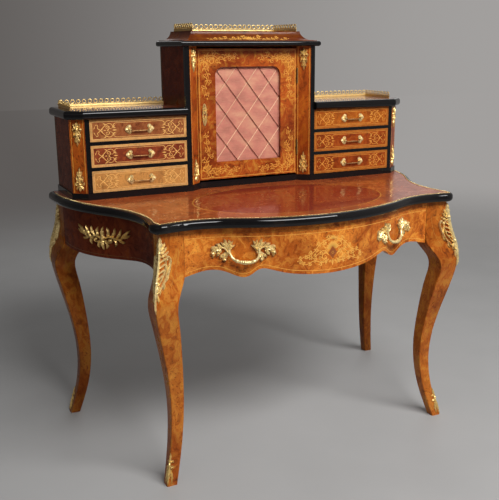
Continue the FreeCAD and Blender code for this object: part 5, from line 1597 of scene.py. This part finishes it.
def grown(name, runs, tree, values, body, slot, *replaced):
    """Plain mesh that a node tree grows along straight or curved runs of points."""
    corners = []
    edges = []
    for run in runs:
        first = len(corners)
        edges += [(first + i, first + i + 1) for i in range(len(run) - 1)]
        corners += [Vector(point) * MM for point in run]
    path = bpy.data.meshes.new(name + "_path")
    path.from_pydata(corners, edges, [])
    host = add_object(name + "_path", path)
    grow = host.modifiers.new("Grow", "NODES")
    grow.node_group = tree
    for item in tree.interface.items_tree:
        if item.in_out == "INPUT" and item.name in values:
            grow[item.identifier] = values[item.name]
    ready = bpy.context.evaluated_depsgraph_get()
    mesh = bpy.data.meshes.new_from_object(host.evaluated_get(ready), depsgraph=ready)
    mesh.name = name
    bpy.data.objects.remove(host)
    if not mesh.polygons:
        raise RuntimeError(name + " grew no faces")
    return settle(name, mesh, body, slot, *replaced)


def bead_tree():
    """Round beads at an even pitch."""
    make = Growth("bead_row", "Pitch", "Radius")
    path = make.grow("MeshToCurve", (0, make.source["Geometry"]))
    bead = make.grow("MeshIcoSphere", ("Radius", make.source["Radius"]), ("Subdivisions", 2))
    spots = make.spots(path, make.source["Pitch"])
    return make.close(make.grow("InstanceOnPoints", ("Points", spots), ("Instance", bead)))


def gallery_tree():
    """A solid foot band between two fine mouldings, with a row of round loops standing on it."""
    make = Growth("pierced_gallery", "Pitch", "Height", "Wire")
    pitch, height, wire = (make.source[word] for word in ("Pitch", "Height", "Wire"))
    path = make.grow("MeshToCurve", (0, make.source["Geometry"]))

    def times(value, factor):
        return make.maths("MULTIPLY", value, factor)

    def band(width, tall):
        return make.grow("CurvePrimitiveQuadrilateral", ("Width", width), ("Height", tall))

    def circle(sides, radius):
        return make.grow("CurvePrimitiveCircle", ("Resolution", sides), ("Radius", radius))

    def raised(geometry, level, x=0.0, turn=0.0):
        up = make.add("CombineXYZ", (0, x), (2, times(height, level))).outputs[0]
        return make.grow("Transform", ("Geometry", geometry), ("Translation", up),
                         ("Rotation", (turn, 0.0, 0.0)))
    plate = band(wire, times(height, 0.22))
    bar = circle(8, times(wire, 0.85))
    rails = []
    for section, level in ((plate, 0.15), (bar, 0.05), (bar, 0.29)):
        rail = make.grow("CurveToMesh", ("Curve", path), ("Profile Curve", section),
                         ("Fill Caps", True))
        rails.append(raised(rail, level))
    loop = make.grow("CurveToMesh", ("Curve", circle(16, times(height, 0.255))),
                     ("Profile Curve", band(times(wire, 2.1), times(wire, 1.2))))
    spear = make.grow("MeshCone", ("Vertices", 6), ("Radius Bottom", times(wire, 1.1)),
                      ("Radius Top", times(wire, 0.25)), ("Depth", times(height, 0.26)))
    half = times(pitch, 0.5)
    group = make.join(raised(loop, 0.665, 0.0, math.pi / 2), raised(spear, 0.28, half))
    stop = make.maths("SUBTRACT", make.grow("SplineLength"), half)
    inner = make.add("GeometryNodeTrimCurve", ("Curve", path), mode="LENGTH")
    lengths = [item for item in inner.inputs if item.enabled and item.type == "VALUE"]
    for socket, value in zip(lengths, (half, stop)):
        make.tree.links.new(value, socket)
    turned = make.add("FunctionNodeAlignRotationToVector",
                      ("Vector", make.grow("InputTangent")), axis="X", pivot_axis="Z")
    placed = make.grow("InstanceOnPoints", ("Points", make.spots(inner.outputs[0], pitch)),
                       ("Instance", group), ("Rotation", turned.outputs[0]))
    return make.close(make.join(*rails, placed))


def make_galleries():
    """Galleries on the backs and outer sides of the drawer units and of the cupboard."""
    tree = gallery_tree()
    values = {"Pitch": sizes().gallery_pitch, "Wire": sizes().gallery_wire,
              "Material": finish("brass")}
    back = GALLERY_BACK

    def flank(side, plan):
        x, y = side * (plan["outer"] - GALLERY_LAP), back - GALLERY_LAP
        return [(x, y, plan["foot"]), (x, y - plan["run"], plan["foot"])]
    plan = UNIT_GALLERY
    runs = []
    for side in SIDES:
        runs.append([(side * plan[end], back, plan["foot"]) for end in ("inner", "outer")])
        runs.append(flank(side, plan))
    grown("unit_loop_galleries", runs, tree, {**values, "Height": plan["height"]}, "frame",
          "brass", "unit_galleries")
    plan = TOP_GALLERY
    runs = [[(side * plan["outer"], back, plan["foot"]) for side in SIDES]]
    runs += [flank(side, plan) for side in SIDES]
    grown("cupboard_loop_gallery", runs, tree, {**values, "Height": plan["height"]}, "frame",
          "brass", "cupboard_gallery")


def table_edge(inset):
    """Outline of the table from the rear right, round the front, to the rear left."""
    half = [(side_x(y, inset), y) for y in np.linspace(TABLE_BACK, SIDE_END, 50)]
    half += [(x, front_y(x, inset)) for x in np.linspace(FRONT_END, 0.0, 60)]
    return half + mirrored(half[-2::-1], -1)


def make_bead():
    """Row of gilt beads that stops short of the back."""
    run = [(x, y, BEAD_HEIGHT) for x, y in table_edge(BEAD_INSET) if y < TABLE_BACK]
    values = {"Pitch": sizes().bead_pitch, "Radius": sizes().bead_radius,
              "Material": finish("gilt_plain")}
    grown("gilt_bead_row", [run], bead_tree(), values, "frame", "ormolu", "top_bead")


def make_floor():
    """Pale floor that passes into the backdrop far from the desk."""
    mesh = bpy.data.meshes.new("studio_floor")
    reach = FLOOR_REACH
    corners = [(-reach, -reach, 0), (reach, -reach, 0), (reach, reach, 0), (-reach, reach, 0)]
    mesh.from_pydata(corners, [], [(0, 1, 2, 3)])
    make = Finish("floor_paint")
    tone = colours().floor
    speck = make.noise(make.place(), 3.0, 3.0)["Fac"]
    make.put(make.shader, "Base Color",
             make.ramp(speck, (0.3, shade(tone, 0.97)), (0.7, shade(tone, 1.03))))
    make.constant(Roughness=0.55, Specular_IOR_Level=0.25)
    away = make.add("VectorMath", (0, make.where()), operation="LENGTH").outputs["Value"]
    far = make.maths("MULTIPLY", make.step(away, *FLOOR_FADE), make.seen("Glossy"))
    heading = make.add("VectorMath", (0, make.where()), operation="NORMALIZE").outputs[0]
    glow = make.add("Emission", ("Color", make.sweep(heading)), ("Strength", 1.0))
    blend = make.add("MixShader", (0, far), (1, make.shader.outputs[0]), (2, glow.outputs[0]))
    make.put(make.tree.nodes["Material Output"], 0, blend.outputs[0])
    mesh.materials.append(make.material)
    add_object("studio_floor", mesh)


def make_lamps():
    """Soft lamps that look at the middle of the desk."""
    studio = bpy.context.scene.desk_studio
    for name, power, spot, size in lamps:
        data = bpy.data.lights.new(name, "AREA")
        data.shape = "RECTANGLE"
        data.size, data.size_y = size
        data.energy = getattr(studio, power)
        turn = (Vector(LAMP_AIM) - Vector(spot)).to_track_quat("-Z", "Y")
        add_object(name, data).matrix_world = Matrix.LocRotScale(spot, turn, None)


def make_air():
    """Even light from all round, and the backdrop that is seen and mirrored."""
    world = bpy.data.worlds.new("studio_air")
    world.use_nodes = True
    make = Nodes(world.node_tree)
    air = make.tree.nodes["Background"]
    make.put(air, "Color", (1.0, 1.0, 1.0, 1.0))
    make.put(air, "Strength", bpy.context.scene.desk_studio.air_light)
    heading = make.add("TexCoord").outputs["Generated"]
    view = make.add("Background", ("Color", make.sweep(heading)))
    either = make.add("MixShader", (0, make.seen("Glossy", "Transmission")),
                      (1, air.outputs[0]), (2, view.outputs[0]))
    make.put(make.tree.nodes["World Output"], 0, either.outputs[0])
    bpy.context.scene.world = world


def make_camera():
    """Camera that stands where the photograph was taken."""
    yaw, pitch, roll = CAMERA_YAW, CAMERA_PITCH, CAMERA_ROLL
    right = Vector((math.cos(yaw), -math.sin(yaw), 0.0))
    ahead = Vector((math.sin(yaw) * math.cos(pitch), math.cos(yaw) * math.cos(pitch),
                    -math.sin(pitch)))
    turned = right * math.cos(roll) + right.cross(ahead) * math.sin(roll)
    data = bpy.data.cameras.new("photo_camera")
    data.lens = CAMERA_LENS
    data.sensor_width = CAMERA_SENSOR
    data.shift_x, data.shift_y = CAMERA_SHIFT
    camera = add_object("photo_camera", data)
    axes = Matrix((turned, turned.cross(ahead), -ahead)).transposed()
    camera.matrix_world = Matrix.Translation(CAMERA_EYE) @ axes.to_4x4()
    bpy.context.scene.camera = camera
    bpy.context.scene.view_settings.view_transform = "Standard"


class DESK_OT_stage(Operator):
    """Makes the floor, the lamps and the camera"""

    bl_idname = "desk.stage"
    bl_label = "Studio"

    def execute(self, context):
        make_floor()
        make_lamps()
        make_air()
        make_camera()
        return {"FINISHED"}


class DESK_OT_veneers(Operator):
    """Gives every solid its veneer, ebonised, plain or metal finish"""

    bl_idname = "desk.veneers"
    bl_label = "Veneers"

    def execute(self, context):
        make_veneers()
        return {"FINISHED"}


class DESK_OT_legs(Operator):
    """Makes the four cabriole legs with softened arrises"""

    bl_idname = "desk.legs"
    bl_label = "Legs"

    def execute(self, context):
        make_legs()
        return {"FINISHED"}


class DESK_OT_knee_mounts(Operator):
    """Makes the scrolled gilt mounts on the knees"""

    bl_idname = "desk.knee_mounts"
    bl_label = "Knee mounts"

    def execute(self, context):
        make_knee_mounts()
        return {"FINISHED"}


class DESK_OT_foot_mounts(Operator):
    """Makes the gilt leaves on the feet"""

    bl_idname = "desk.foot_mounts"
    bl_label = "Foot mounts"

    def execute(self, context):
        make_foot_mounts()
        return {"FINISHED"}


class DESK_OT_side_mounts(Operator):
    """Makes the leaf sprays on the side friezes"""

    bl_idname = "desk.side_mounts"
    bl_label = "Side mounts"

    def execute(self, context):
        make_side_mounts()
        return {"FINISHED"}


class DESK_OT_corner_mounts(Operator):
    """Makes the leaf drops and lines on the canted corners and pilasters"""

    bl_idname = "desk.corner_mounts"
    bl_label = "Corner mounts"

    def execute(self, context):
        make_corner_mounts()
        return {"FINISHED"}


class DESK_OT_pulls(Operator):
    """Makes the leafy bow pulls of the frieze drawer"""

    bl_idname = "desk.pulls"
    bl_label = "Frieze pulls"

    def execute(self, context):
        make_pulls()
        return {"FINISHED"}


class DESK_OT_frieze_marquetry(Operator):
    """Inlays the frieze drawer, the side friezes and the knees"""

    bl_idname = "desk.frieze_marquetry"
    bl_label = "Frieze marquetry"

    def execute(self, context):
        make_frieze_marquetry()
        return {"FINISHED"}


class DESK_OT_drawer_marquetry(Operator):
    """Inlays the six small drawers"""

    bl_idname = "desk.drawer_marquetry"
    bl_label = "Drawer marquetry"

    def execute(self, context):
        make_drawer_marquetry()
        return {"FINISHED"}


class DESK_OT_handles(Operator):
    """Adds the leaves and knops of the small drawer handles"""

    bl_idname = "desk.handles"
    bl_label = "Drawer handles"

    def execute(self, context):
        make_handles()
        return {"FINISHED"}


class DESK_OT_door_marquetry(Operator):
    """Inlays the frame of the cupboard door"""

    bl_idname = "desk.door_marquetry"
    bl_label = "Door marquetry"

    def execute(self, context):
        make_door_marquetry()
        return {"FINISHED"}


class DESK_OT_pane(Operator):
    """Makes the brass lattice and the silk of the door"""

    bl_idname = "desk.pane"
    bl_label = "Lattice and silk"

    def execute(self, context):
        make_lattice()
        make_silk()
        return {"FINISHED"}


class DESK_OT_escutcheon(Operator):
    """Adds the leaves of the escutcheon"""

    bl_idname = "desk.escutcheon"
    bl_label = "Escutcheon"

    def execute(self, context):
        make_escutcheon()
        return {"FINISHED"}


class DESK_OT_cove_marquetry(Operator):
    """Inlays the hollow front of the cupboard's top"""

    bl_idname = "desk.cove_marquetry"
    bl_label = "Cove marquetry"

    def execute(self, context):
        make_cove_marquetry()
        return {"FINISHED"}


class DESK_OT_galleries(Operator):
    """Grows the pierced brass galleries"""

    bl_idname = "desk.galleries"
    bl_label = "Galleries"

    def execute(self, context):
        make_galleries()
        return {"FINISHED"}


class DESK_OT_bead(Operator):
    """Grows the row of gilt beads inside the table moulding"""

    bl_idname = "desk.bead"
    bl_label = "Gilt bead"

    def execute(self, context):
        make_bead()
        return {"FINISHED"}


operators = (
    DESK_OT_stage, DESK_OT_veneers, DESK_OT_legs, DESK_OT_knee_mounts, DESK_OT_foot_mounts,
    DESK_OT_side_mounts, DESK_OT_corner_mounts, DESK_OT_pulls, DESK_OT_frieze_marquetry,
    DESK_OT_drawer_marquetry, DESK_OT_handles, DESK_OT_door_marquetry, DESK_OT_pane,
    DESK_OT_escutcheon, DESK_OT_cove_marquetry, DESK_OT_galleries, DESK_OT_bead,
)


class DESK_PT_panel(Panel):
    """Lists the pieces, sizes and colours of the desk"""

    bl_idname = "DESK_PT_panel"
    bl_label = "Bonheur du jour"
    bl_space_type = "VIEW_3D"
    bl_region_type = "UI"
    bl_category = "Desk"

    def draw(self, context):
        for operator in operators:
            self.layout.operator(operator.bl_idname)
        scene = context.scene
        for group in (scene.desk_colours, scene.desk_sizes, scene.desk_studio):
            for key in group.__annotations__:
                self.layout.prop(group, key)


groups = (("desk_colours", DeskColours), ("desk_sizes", DeskSizes), ("desk_studio", DeskStudio))


def register():
    for name, group in groups:
        bpy.utils.register_class(group)
        setattr(bpy.types.Scene, name, PointerProperty(type=group))
    for item in operators + (DESK_PT_panel,):
        bpy.utils.register_class(item)


def unregister():
    for item in reversed(operators + (DESK_PT_panel,)):
        bpy.utils.unregister_class(item)
    for name, group in reversed(groups):
        delattr(bpy.types.Scene, name)
        bpy.utils.unregister_class(group)


def main():
    register()
    for operator in operators:
        group, call = operator.bl_idname.split(".")
        getattr(getattr(bpy.ops, group), call)()


if __name__ == "__main__":
    main()
